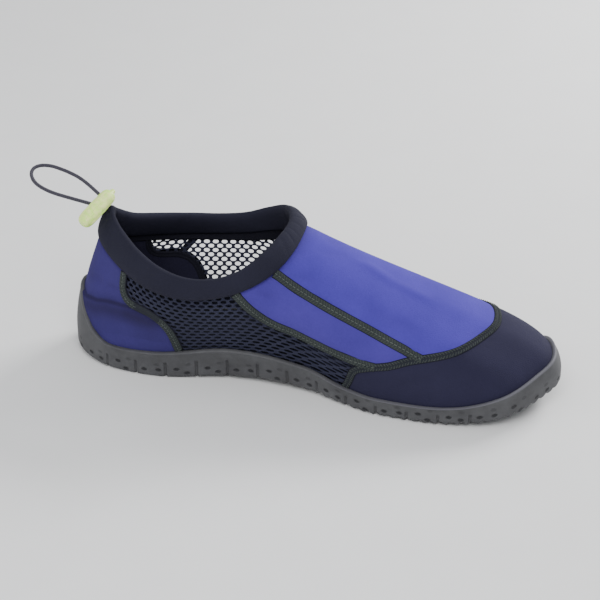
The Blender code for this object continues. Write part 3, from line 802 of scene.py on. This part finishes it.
def make_cloth():
    """Panels of the upper with their lining, closed along the edges of the mesh windows."""
    turns = np.arange(WALL_COLUMNS) * 2.0 / WALL_COLUMNS
    levels = np.concatenate([np.linspace(0.0, 1.0, WALL_LEVELS), [1.003, 1.006]])
    t, s = np.meshgrid(turns, levels)
    base, way = wall(t, s), wall_out(t, s)
    high, painted_shade = cloth_height(t, s, base)
    outer = base + way * high[..., None]
    inner = base + way * (heel_fold(base) - UPPER_WALL)[..., None]
    rows, columns = t.shape
    middle_s = np.minimum((s[:-1] + s[1:]) / 2.0, 1.0)
    panels = panel_at(t[:-1] + 1.0 / WALL_COLUMNS, middle_s)
    solid = (panels != MESH_IN) & (panels != MESH_OUT)
    half = rows * columns
    finish_of = {HEEL: 2, SIDE_IN: 1, SIDE_OUT: 1, VAMP: 0, TOE: 3}
    faces, kinds = [], []
    for i in range(rows - 1):
        for j in range(columns):
            if not solid[i, j]:
                continue
            k = (j + 1) % columns
            a, b, c, d = i * columns + j, i * columns + k, (i + 1) * columns + k, (i + 1) * columns + j
            faces += [(a, b, c, d), (half + d, half + c, half + b, half + a)]
            kinds += [finish_of[int(panels[i, j])], 5 if panels[i, j] == HEEL else 4]
            around = (
                (i > 0 and solid[i - 1, j], a, b), (solid[i, k], b, c),
                (i + 1 < rows - 1 and solid[i + 1, j], c, d), (solid[i, j - 1], d, a),
            )
            for joined, p, q in around:
                if not joined:
                    faces.append((q, p, half + p, half + q))
                    kinds.append(4)
    finishes = [BLUE, BLUE_SIDE, BLUE_HEEL, NAVY, LINING, LINING_BLUE]
    # Painted shade, kept on the outer points only.
    marks = {"painted_shade": [painted_shade, np.zeros(painted_shade.shape)]}
    return make_piece("cloth_panels", [outer, inner], faces, finishes, ["upper"], kinds, marks=marks)


# Outline of one cell of the mesh, in quarters of its pitch and of its row
CELL = (
    (-2, -2), (-1, -2), (0, -2), (1, -2), (2, -2), (2, 0), (2, 2), (1, 2), (0, 2), (-1, 2), (-2, 2), (-2, 0),
)


def make_net(name, first, last, panel):
    """Mesh quarter with real holes in staggered rows; its edges lie between the panels and their lining."""
    turns = np.linspace(first, last, NET_COLUMNS)
    runs, slants = runs_of(wall(turns, 0.75)), slant_at(turns)

    def place(u, v):
        slant = np.interp(u, runs, slants)
        share = v / slant
        return np.interp(u, runs, turns), np.where(share > 1.0, 1.0 + (share - 1.0) * slant, share)

    rim = np.array(CELL) / 4.0 * (MESH_PITCH, MESH_ROW)
    angles = np.arctan2(rim[:, 1] / MESH_ROW, rim[:, 0] / MESH_PITCH)
    square = [np.sign(f(angles)) * np.abs(f(angles)) ** MESH_HOLE_POWER for f in (np.cos, np.sin)]
    hole = np.stack(square, axis=1) * np.array(MESH_HOLE) / 2.0
    index, spots, faces = {}, [], []

    def corner(u, v):
        key = (round(u * 1e6 / 5.0), round(v * 1e6 / 5.0))
        if key not in index:
            index[key] = len(spots)
            spots.append((u, v))
        return index[key]

    for row in range(1, MESH_ROWS):
        for k in range(int(runs[-1] / MESH_PITCH)):
            centre = np.array([(k + 0.5 + 0.5 * (row % 2)) * MESH_PITCH, row * MESH_ROW])
            edge = centre + rim
            t, s = place(edge[:, 0], edge[:, 1])
            if t.min() <= first + 0.002 or t.max() >= last - 0.002 or s.max() > 1.0055 or s.min() < 0.03:
                continue
            if not (panel_at(t, np.minimum(s, 1.0)) == panel).any():
                continue
            ring_out = [corner(*p) for p in edge]
            ring_in = [corner(*p) for p in centre + hole]
            for i in range(len(CELL)):
                j = (i + 1) % len(CELL)
                faces.append((ring_out[i], ring_out[j], ring_in[j], ring_in[i]))
    t, s = place(*np.array(spots).T)
    net = make_piece(name, raised(t, s, -MESH_SINK), faces, [NET], ["upper"])
    thick = net.modifiers.new("thickness", "SOLIDIFY")
    thick.thickness = MESH_THICKNESS
    thick.offset = -1.0
    rounding = net.modifiers.new("rounding", "SUBSURF")
    rounding.levels = rounding.render_levels = 1


def strip_of(turns, shares, offset, half, profile, flip=1.0):
    """Rings of a raised strip along a line on the wall, with the line's points and ways."""
    middles = wall(turns, shares)
    normals = wall_out(turns, shares) * flip
    sides = units(np.cross(normals, np.gradient(middles, axis=0)))
    rows = [middles + sides * (across * half) + normals * (offset + high) for across, high in profile]
    return np.stack(rows), middles, normals, sides


TAPE_PROFILE = (
    (-1.0, 0.00002), (-0.92, 0.00042), (-0.7, 0.00064), (-0.42, 0.00066), (-0.12, 0.0004),
    (0.12, 0.0004), (0.42, 0.00066), (0.7, 0.00064), (0.92, 0.00042), (1.0, 0.00002),
)
# Section of a dark strip under a tape's edges: painted shadow in the gaps beside the tape.
GAP_SHADE_PROFILE = ((-1.0, -0.0002), (-0.9, 0.0001), (0.9, 0.0001), (1.0, -0.0002))
# A thread across the tape: places in half widths, heights in thread radii
CROSS_THREAD = ((-0.36, 0.3), (-0.2, 0.7), (0.0, 0.8), (0.2, 0.7), (0.36, 0.3))


def even_line(knots, far):
    """Evenly spaced turns and shares along a seam, kept over the sole's rim."""
    turns, shares = seam_line(knots, 240)
    if far is not None:
        turns, shares = np.append(turns, far[0]), np.append(shares, far[1])
    shares = np.maximum(shares, share_at(turns, sample(RIMS, turns)))
    runs = runs_of(wall(turns, shares))
    wanted = np.linspace(0.0, runs[-1], max(int(runs[-1] / (STITCH_PITCH / 2.0)), 8))
    return np.interp(wanted, runs, turns), np.interp(wanted, runs, shares), runs[-1]


def point_at(path, place):
    """Point at a place between the points of a path."""
    index = np.arange(len(path))
    return np.array([np.interp(place, index, path[:, c]) for c in range(3)])


def add_thread(spine, step, normal, points, faces, radius=THREAD):
    """Half-round thread laid along a short spine."""
    start = len(points)
    for p in spine:
        points += [p + step * radius, p + normal * radius, p - step * radius]
    for q in range(len(spine) - 1):
        a = start + 3 * q
        faces += [(a, a + 1, a + 4, a + 3), (a + 1, a + 2, a + 5, a + 4)]


def make_seams():
    """Flat-lock seams: a tape with two ridges, threads laid across it and a bright line of stitches. A dark strip
    under each tape paints the shadow along its edges, and the heel seams are dark tape without threads in their
    middles, painting the shade under the counter's step.
    """
    cross, cross_faces, bright, bright_faces = [], [], [], []
    for name, knots in SEAMS.items():
        cap = name == "seam_toe_cap"
        turns, shares, length = even_line(knots, JOIN_ENDS.get(name))
        count = len(turns)
        half = SEAM_WIDTH / 2.0 * (0.86 if cap else 1.0)
        tape, middles, normals, sides = strip_of(turns, shares, 0.0002, half, TAPE_PROFILE)
        # Painted shadow: dark strip a little wider than the tape.
        edge, *_ = strip_of(turns, shares, 0.00012, half + 0.0005, GAP_SHADE_PROFILE)
        inner, *_ = strip_of(turns, shares, UPPER_WALL - SHEET_GAP, SEAM_WIDTH * 0.42, TAPE_PROFILE, -1.0)
        place = np.linspace(0.0, 1.0, count)
        # Painted shade: the middle of each heel seam, under the counter's step, is dark tape without threads.
        step_shadow = (place > 0.34) & (place < 0.60) & ("heel" in name)
        faces = grid_faces(len(TAPE_PROFILE), count, False)
        gap_shade_faces = grid_faces(len(GAP_SHADE_PROFILE), count, False)
        # Dark tape: the toe cap's seam all along, and painted shade on the heel seams' middles.
        kinds = [1 if cap or step_shadow[f[0] % count] else 0 for f in faces]
        make_piece("tape_" + name, tape, faces, [TAPE, TAPE_DARK], [name], kinds)
        make_piece("gap_shade_" + name, edge, gap_shade_faces, [LINING], [name])
        make_piece("inner_" + name, inner, faces, [LINING], [name])
        steps = units(np.gradient(middles, axis=0))
        for k in range(1, count - 1, 2):
            if step_shadow[k]:
                continue
            for lane, lean in ((-0.56, 0.0005), (0.56, -0.0005)):
                spine = []
                for q, (part, lift) in enumerate(CROSS_THREAD):
                    at = lane + part
                    high = 0.00086 + THREAD * lift
                    high -= 0.00030 * (abs(at) > 0.88) + 0.00016 * (abs(at) < 0.24)
                    off = sides[k] * at * half + normals[k] * high + steps[k] * lean * (q - 2) / 2.0
                    spine.append(middles[k] + off)
                add_thread(spine, steps[k], normals[k], cross, cross_faces)
        long = int(length / LONG_STITCH)
        highs = (0.00048 if cap else 0.00058) + np.array([0.0, 0.00018, 0.00018, 0.0])
        for i in range(long):
            at = np.clip((i + np.array([0.10, 0.3, 0.55, 0.8])) / long * (count - 1), 0, count - 1)
            k = int(at[1])
            if step_shadow[k]:
                continue
            for lane in (-0.72, 0.72) if cap else (0.0,):
                line = middles + sides * lane * half
                spine = [point_at(line + normals * h, a) for a, h in zip(at, highs)]
                add_thread(spine, sides[k], normals[k], bright, bright_faces, THREAD * 0.95)
    make_piece("seam_cross_threads", cross, cross_faces, [STITCH], list(SEAMS))
    make_piece("seam_stitches", bright, bright_faces, [STITCH_LIGHT], list(SEAMS))


# Section of the collar roll: thousandths of the band's height and of its half thickness
ROLL = (
    (20, 620), (50, 980), (150, 1200), (300, 1300), (460, 1300), (620, 1220), (760, 1060), (880, 800),
    (965, 440), (1000, 0), (970, -420), (900, -760), (780, -980), (620, -1080), (440, -1100), (260, -1060),
    (120, -980), (30, -840), (0, -560), (20, -200), (20, 220),
)
# Gathers pressed across the collar: turn, lean, half width and depth in mm, all in thousandths
GATHERS = table(
    "turn lean half_width depth",
    (60, 10, 2000, 350), (150, -12, 2400, 300), (270, 10, 2200, 220), (360, 6, 2600, 250),
    (520, -8, 3000, 200), (660, 10, 2800, 200), (750, 8, 2400, 200), (840, -6, 2400, 180),
    (950, 4, 3000, 180), (1080, -6, 2800, 200), (1190, 10, 2600, 220), (1300, -10, 2600, 240),
    (1420, 8, 3000, 250), (1580, 6, 2800, 220), (1720, -10, 2200, 280), (1870, 12, 2000, 300),
    (1960, -8, 1600, 300),
)


def make_roll():
    """Padded collar: a puffed roll with a crease at its foot, and gathers across it; its facing inside."""
    turns = np.arange(ROLL_COLUMNS) * 2.0 / ROLL_COLUMNS
    foot, up, out = np.moveaxis(sample(FRAMES, turns), 1, 0)
    height = sample(BAND_HEIGHTS, turns)
    ring = np.array(ROLL + ROLL[:1]) / 1000
    order = list(range(len(ring)))
    points = []
    for step in np.linspace(0.0, len(ROLL), ROLL_STEPS + 1)[:-1]:
        a, b = (curve_through(order, list(ring[:, k]), step) for k in (0, 1))
        press = np.zeros(len(turns))
        for turn, lean, half, depth in zip(*GATHERS.values()):
            gap = np.abs((turns - turn - lean * (a - 0.5) * 2.0 + 1.0) % 2.0 - 1.0) * 0.155
            press += depth * 0.001 * bell(gap, half * 0.001) * smooth(a * 1.6)
        pushed = np.sign(b) * np.maximum(np.abs(HALF_BAND * b) - press * min(abs(b), 1.0), 0.0)
        points.append(foot + up * (height * a)[:, None] + out * pushed[:, None])
    faces = grid_faces(ROLL_STEPS, ROLL_COLUMNS, closed=True)
    roll = make_piece("collar_roll", points, faces, [COLLAR_CLOTH], ["collar_binding"])
    around = FACING_COLUMNS
    t, s = np.meshgrid(np.arange(around) * 2.0 / around, np.linspace(LINING_STRIP, 1.0, FACING_ROWS))
    sheets = [raised(t, s, -UPPER_WALL + gap) for gap in (-SHEET_GAP, SHEET_GAP)]
    faces = grid_faces(FACING_ROWS, around) + grid_faces(FACING_ROWS, around, True, t.size, True)
    faces += [(j, t.size + j, t.size + (j + 1) % around, (j + 1) % around) for j in range(around)]
    make_piece("collar_facing", sheets, faces, [LINING], ["upper"])


def make_inner_tape():
    """Tape inside the outer quarter, from the collar down to the heel's seam."""
    count = INNER_TAPE_STEPS
    turns, shares = np.linspace(1.688, 1.727, count), np.linspace(0.93, 0.60, count)
    rows, *_ = strip_of(turns, shares, UPPER_WALL - 0.0018, 0.0021, TAPE_PROFILE, -1.0)
    make_piece("inner_tape", rows, grid_faces(len(TAPE_PROFILE), count, False), [LINING], ["upper"])


def cut_depth(x, width):
    """1 in a groove across the sole, 0 between the grooves."""
    gap = np.min(np.abs(np.asarray(x)[..., None] - GROOVES), axis=-1)
    return bounded((width / 2.0 + 0.00012 - gap) / 0.00024)


def sole_turns():
    """Places round the sole, closer together at the grooves."""
    places = list(np.linspace(0.0, 1.0, 261))
    for x in GROOVES:
        for off in (-1.38, -1.08, -0.95, -0.68, 0.0, 0.68, 0.95, 1.08, 1.38):
            places.append(acos(1.0 - 2.0 * (x + off * 0.001) / LENGTH) / pi)
    kept = [0.0]
    for place in sorted(places):
        if place - kept[-1] > 0.0003:
            kept.append(place)
    kept[-1] = 1.0
    half = np.array(kept)
    return np.concatenate([half, (2.0 - half[1:-1])[::-1]])


def make_sole():
    """Cup sole: side with slits and teeth, painted highlight on its top lip, tread with lugs, floor inside."""
    turns = sole_turns()
    columns = len(turns)
    edge, out, rim = (sample(rows, turns) for rows in (EDGES, EDGE_OUT, RIMS))
    low = tread(*edge.T)
    runs = runs_of(edge)
    runs = np.minimum(runs, runs[-1] + 0.0008 - runs)
    half = columns // 2 + 1
    marks = np.interp(GROOVES, edge[:half, 0], runs[:half])
    before, after = marks[0] - GROOVE_PITCH * np.arange(6, 0, -1), marks[-1] + GROOVE_PITCH * np.arange(1, 7)
    steps = np.interp(runs, np.concatenate([before, marks, after]), np.arange(len(marks) + 12.0))
    slit = cut_depth(edge[:, 0], SLIT_WIDTH)
    wave = np.abs((runs / TOOTH_PITCH % 1.0) * 2.0 - 1.0)
    teeth = bounded((edge[:, 0] / LENGTH - 0.45) / 0.12) * bounded((wave - 0.30) / 0.45)
    share_rim = share_at(turns, rim)
    tall = rim - low
    # Strength of the painted highlight on the lip, growing towards the toe.
    toe_highlight = 0.12 + 0.88 * bounded((edge[:, 0] / LENGTH - 0.50) / 0.20)
    rows, rise, lip_highlights = [], [], []

    def add(points, level=None, lip=0.0):
        rows.append(points)
        rise.append(points[:, 2] - low if level is None else level)
        lip_highlights.append(lip * toe_highlight)

    for angle in np.linspace(0.0, pi / 2.0, 6):
        up = EDGE_ROUND * (1.0 - cos(angle))
        flat = edge - out * (EDGE_ROUND * (1.0 - sin(angle)) + teeth * TOOTH_DEPTH * cos(angle))[:, None]
        height = tread(*flat.T) + up + teeth * TOOTH_RISE * cos(angle)
        add(np.column_stack([flat, height]), np.full(columns, up))
    first = np.column_stack([edge, low + EDGE_ROUND])
    base = raised(turns, 0.0, GAP + SOLE_WALL)
    for part in (0.2, 0.4, 0.6, 0.8):
        add(first + (base - first) * part)
    for part in np.concatenate([np.linspace(0.0, 0.86, 13), [0.90, 0.93, 0.96, 0.985]]):
        bead = LIP_BEAD * bell(part - 0.945, 0.035)
        add(raised(turns, share_rim * part, GAP + SOLE_WALL + bead), lip=1.0 if part > 0.88 else 0.0)
    for part, wall_share, lip in ((1.0, 0.72, 1.0), (1.0, 0.28, 0.8), (0.985, 0.0, 0.3), (0.5, 0.0, 0.0)):
        add(raised(turns, share_rim * part, GAP + SOLE_WALL * wall_share), tall, lip)
    flat = edge - out * SOLE_WALL
    add(np.column_stack([flat, tread(*flat.T) + SOLE_FLOOR]), tall)

    for points, level in zip(rows[:-4], rise[:-4]):
        cut = slit * bounded((SLIT_SHARE - level / tall) / 0.05) * SLIT_DEPTH
        points[:, :2] -= out * cut[:, None]
    grid = np.stack(rows)
    side = np.stack([np.broadcast_to(steps, grid.shape[:2]), np.stack(rise) * 1000.0], axis=-1)
    points, sides, lip_highlight_values = [grid.reshape(-1, 3)], [side.reshape(-1, 2)], [np.ravel(lip_highlights)]
    faces = grid_faces(len(rows), columns)
    total = len(rows) * columns

    def across(ring_row, height, parts, ripple=None):
        """Strips across the sole between the two sides of a ring."""
        nonlocal total
        ring, at = grid[ring_row], ring_row * columns
        ids, new = [[at] * (parts + 1)], []
        share = np.linspace(0.0, 1.0, parts + 1)[1:-1]
        for i in range(1, columns // 2):
            a, b = ring[i], ring[columns - i]
            p = a + (b - a) * share[:, None]
            p[:, 2] = height(p[:, 0], p[:, 1])
            if ripple:
                inset = np.minimum(share, 1.0 - share) * np.linalg.norm(b - a)
                p[:, 2] += ripple(p[:, 0], p[:, 1]) * bounded((inset - 0.0004) / 0.0006)
            ids.append([at + i, *range(total, total + parts - 1), at + columns - i])
            total += parts - 1
            new.append(p)
        ids.append([at + columns // 2] * (parts + 1))
        points.append(np.concatenate(new))
        sides.append(np.full((len(points[-1]), 2), -50.0))
        lip_highlight_values.append(np.zeros(len(points[-1])))
        for last, row in zip(ids, ids[1:]):
            for k in range(parts):
                quad = list(dict.fromkeys((last[k], row[k], row[k + 1], last[k + 1])))
                if len(quad) > 2:
                    faces.append(tuple(quad) if ring_row else tuple(quad[::-1]))

    def lugs(x, y):
        """Depth of the grooves, and of the fine waved sipes between them."""
        groove = cut_depth(x, GROOVE_WIDTH) * LUG_DEPTH
        wave = np.sin(y * 1000.0 * 2.0 * pi / 9.0) * SIPE_WAVE
        sipe = ((x + wave - GROOVE_START * GROOVE_PITCH) / GROOVE_PITCH * 3.0) % 1.0 - 0.5
        sipe = np.abs(sipe) * GROOVE_PITCH / 3.0
        return np.maximum(groove, SIPE_DEPTH * bounded((0.0006 - sipe) / 0.0003))

    across(0, tread, TREAD_STRIPS, lugs)
    across(len(rows) - 1, lambda x, y: tread(x, y) + SOLE_FLOOR, 4)
    make_piece(
        "cup_sole", np.concatenate(points), faces, [RUBBER], ["outsole"],
        side=np.concatenate(sides), marks={"lip": np.concatenate(lip_highlight_values)},
    )


def make_footbed():
    """Insole with a rolled edge and a hollow for the heel."""
    turns = np.arange(BED_COLUMNS) * 2.0 / BED_COLUMNS
    inset = SOLE_WALL + UPPER_WALL + 2.5 * GAP
    edge, out = sample(EDGES, turns), sample(EDGE_OUT, turns)
    floor, top = SOLE_FLOOR + GAP, SOLE_FLOOR + GAP + INSOLE_THICKNESS
    levels = (0.0002, floor), (0.0, floor + 0.0006), (0.0, top - 0.0012), (0.0003, top - 0.0004), (0.0010, top)
    grid = []
    for extra, level in levels:
        flat = edge - out * (inset + extra)
        grid.append(np.column_stack([flat, tread(*flat.T) + level]))
    ring = grid[-1]
    middle = (ring + ring[(-np.arange(BED_COLUMNS)) % BED_COLUMNS]) / 2.0
    for part in (0.90, 0.76, 0.6, 0.42, 0.22, 0.0):
        flat = middle + (ring - middle) * part
        x, y = flat[:, 0], flat[:, 1]
        flat[:, 2] = tread(x, y) + top - HEEL_DISH * (1.0 - part**2) * bell(x - 0.042, 0.035)
        grid.append(flat)
    make_piece("footbed", grid, grid_faces(len(grid), BED_COLUMNS), [FOOTBED], ["insole"])


def spokes(side, other, angles):
    """Ways from an axis out to points round it."""
    return side * np.cos(angles)[:, None] + other * np.sin(angles)[:, None]


def tube(centres, radius, around=14):
    """Points, faces and side measure of a braided round tube that follows a path."""
    centres = np.asarray(centres, float)
    steps, runs = units(np.gradient(centres, axis=0)), runs_of(centres)
    side = units(np.cross(steps[0], (0.0, 0.0, 1.0)))
    angles = 2.0 * pi * np.arange(around) / around
    points = []
    for p, step, run in zip(centres, steps, runs / BRAID_PITCH):
        side = units(side - step * (side @ step))
        wave = np.sin(run + 2.0 * angles) * np.sin(run - 2.0 * angles)
        points.append(p + spokes(side, np.cross(step, side), angles) * (radius * (1.0 + 0.035 * wave))[:, None])
    measure = np.stack(np.meshgrid(runs, np.arange(around) / around, indexing="ij"), axis=-1).reshape(-1, 2)
    faces = grid_faces(len(centres), around, flip=True)
    faces += [tuple(range(around)), tuple((len(centres) - 1) * around + k for k in reversed(range(around)))]
    return np.concatenate(points), faces, measure


def lock_middle():
    return to_row(collar_lines(0.0)[0] + np.array(LOCK_FROM_COLLAR))


def cord_route():
    """Points along the cord's loop, sixteen to each length between its given points."""
    steps = list(range(len(CORD_ROUTE)))
    places = np.arange(16 * (len(CORD_ROUTE) - 1) + 1) / 16.0
    columns = [[p[k] / 10000 for p in CORD_ROUTE] for k in range(3)]
    return np.array([[curve_through(steps, column, place) for column in columns] for place in places]) + lock_middle()


# Lock outline from its nub down, with rounded shoulders: thousandths of its length and of its width
LOCK_SHAPE = (
    (560, 0), (560, 60), (555, 115), (540, 155), (515, 172), (480, 176), (462, 230), (452, 320),
    (436, 385), (405, 435), (360, 470), (300, 488), (200, 498), (175, 480), (160, 480), (140, 500),
    (0, 503), (-150, 503), (-290, 500), (-370, 480), (-430, 435), (-468, 360), (-488, 260), (-498, 130),
    (-500, 0),
)


def make_lock():
    """Turned barrel with grooves along it, and the nub of its plunger."""
    turn = Vector(LOCK_AXIS).to_track_quat("Z", "Y").to_matrix().to_4x4()
    to = Matrix.Translation(Vector(lock_middle())) @ turn
    points = []
    for a, r in np.array(LOCK_SHAPE) / 1000:
        for k in range(LOCK_AROUND):
            angle = 2.0 * pi * k / LOCK_AROUND
            gaps = [(angle - g + pi) % (2.0 * pi) - pi for g in LOCK_GROOVES]
            groove = LOCK_GROOVE_DEPTH * sum(bell(g, LOCK_GROOVE_SPREAD) for g in gaps)
            radius = (r - groove * (-0.38 < a < 0.12)) * LOCK_DIAMETER
            points.append(to @ Vector((radius * cos(angle), radius * sin(angle), a * LOCK_LENGTH)))
    faces = grid_faces(len(LOCK_SHAPE), LOCK_AROUND, flip=True)
    return make_piece("lock_barrel", points, faces, [LOCK], ["cord_lock"], centre=False)


def make_cord_pieces():
    """Cord's loop, its two strands to the collar, the lock, and a dark ring round each of its holes."""
    route = cord_route()
    points, faces, side = tube(route, CORD_DIAMETER / 2.0)
    cord = make_piece("draw_cord", points, faces, [CORD], ["elastic_cord"], side=side, centre=False)
    lock = make_lock()
    around, section = EYELET_RINGS
    eyelets, eyelet_faces = [], []
    for end, after in ((route[0], route[3]), (route[-1], route[-4])):
        way = units(after - end)
        side_way = units(np.cross(way, (0.0, 0.0, 1.0)))
        eyelet_faces += grid_faces(around, section, start=len(eyelets), flip=True, closed=True)
        for spoke in spokes(side_way, np.cross(way, side_way), 2.0 * pi * np.arange(around) / around):
            for b in 2.0 * pi * np.arange(section) / section:
                off = spoke * (CORD_DIAMETER * 0.5 + 0.00045 + 0.0003 * cos(b))
                eyelets.append(end + way * (0.0010 + 0.0003 * sin(b)) + off)
    strands, strand_faces = [], []
    collar = to_row(collar_lines(0.0)[0])
    for end, off in ((route[0], -0.0022), (route[-1], 0.0022)):
        way = np.array([collar[0] - 0.0010, off - 0.0004, collar[2] - 0.0030]) - end
        rise = np.array([0.0, 0.0, 0.0006])
        path = [end + way * part + rise * sin(pi * part) for part in np.linspace(0.0, 1.0, 14)]
        made, made_faces, _ = tube(path, CORD_DIAMETER / 2.0, 10)
        strand_faces += [tuple(i + len(strands) for i in f) for f in made_faces]
        strands += list(made)
    make_piece("cord_to_collar", strands, strand_faces, [LINING], ["elastic_cord"], centre=False)
    rings = make_piece("lock_eyelets", eyelets, eyelet_faces, [BUTTON], ["cord_lock"], centre=False)


# Camera, light and floor
def aim(made, target):
    way = Vector(target) - made.location
    made.rotation_mode = "QUATERNION"
    made.rotation_quaternion = way.to_track_quat("-Z", "Y")


def soft_light(name, where, target, size, power):
    data = bpy.data.lights.new(name, "AREA")
    data.shape = "RECTANGLE"
    data.size, data.size_y = size
    data.energy = power
    made = add_object(name, data)
    made.location = where
    aim(made, target)


def make_studio():
    bpy.ops.mesh.primitive_plane_add(size=12.0, location=(0.0, 0.0, 0.0))
    floor = bpy.context.object
    floor.name = "studio_floor"
    floor.data.materials.append(FLOOR)
    world = bpy.data.worlds.new("studio")
    world.use_nodes = True
    sky = world.node_tree.nodes["Background"].inputs
    sky["Color"].default_value = (0.95, 0.97, 1.0, 1.0)
    sky["Strength"].default_value = 0.68
    bpy.context.scene.world = world
    soft_light("key", (0.10, -0.75, 1.00), (0.0, 0.0, 0.03), (0.8, 0.6), 8.5)
    soft_light("fill", (-0.75, -0.60, 0.55), (0.0, 0.0, 0.04), (0.6, 0.6), 2.0)
    soft_light("back", (0.60, 0.80, 0.60), (0.05, 0.0, 0.05), (0.5, 0.3), 15.0)
    camera_data = bpy.data.cameras.new("photo_camera")
    camera_data.lens = 125.0
    camera_data.sensor_width = 36.0
    camera_data.clip_end = 50.0
    camera = add_object("photo_camera", camera_data)
    camera.location = (0.18558, -0.98357, 0.63549)
    aim(camera, (-0.009, 0.0, 0.041))
    bpy.context.scene.camera = camera


make_cloth()
make_net("mesh_quarter_inner", 0.17, 0.70, MESH_IN)
make_net("mesh_quarter_outer", 1.30, 1.83, MESH_OUT)
make_seams()
make_roll()
make_inner_tape()
make_sole()
make_footbed()
make_cord_pieces()
make_studio()
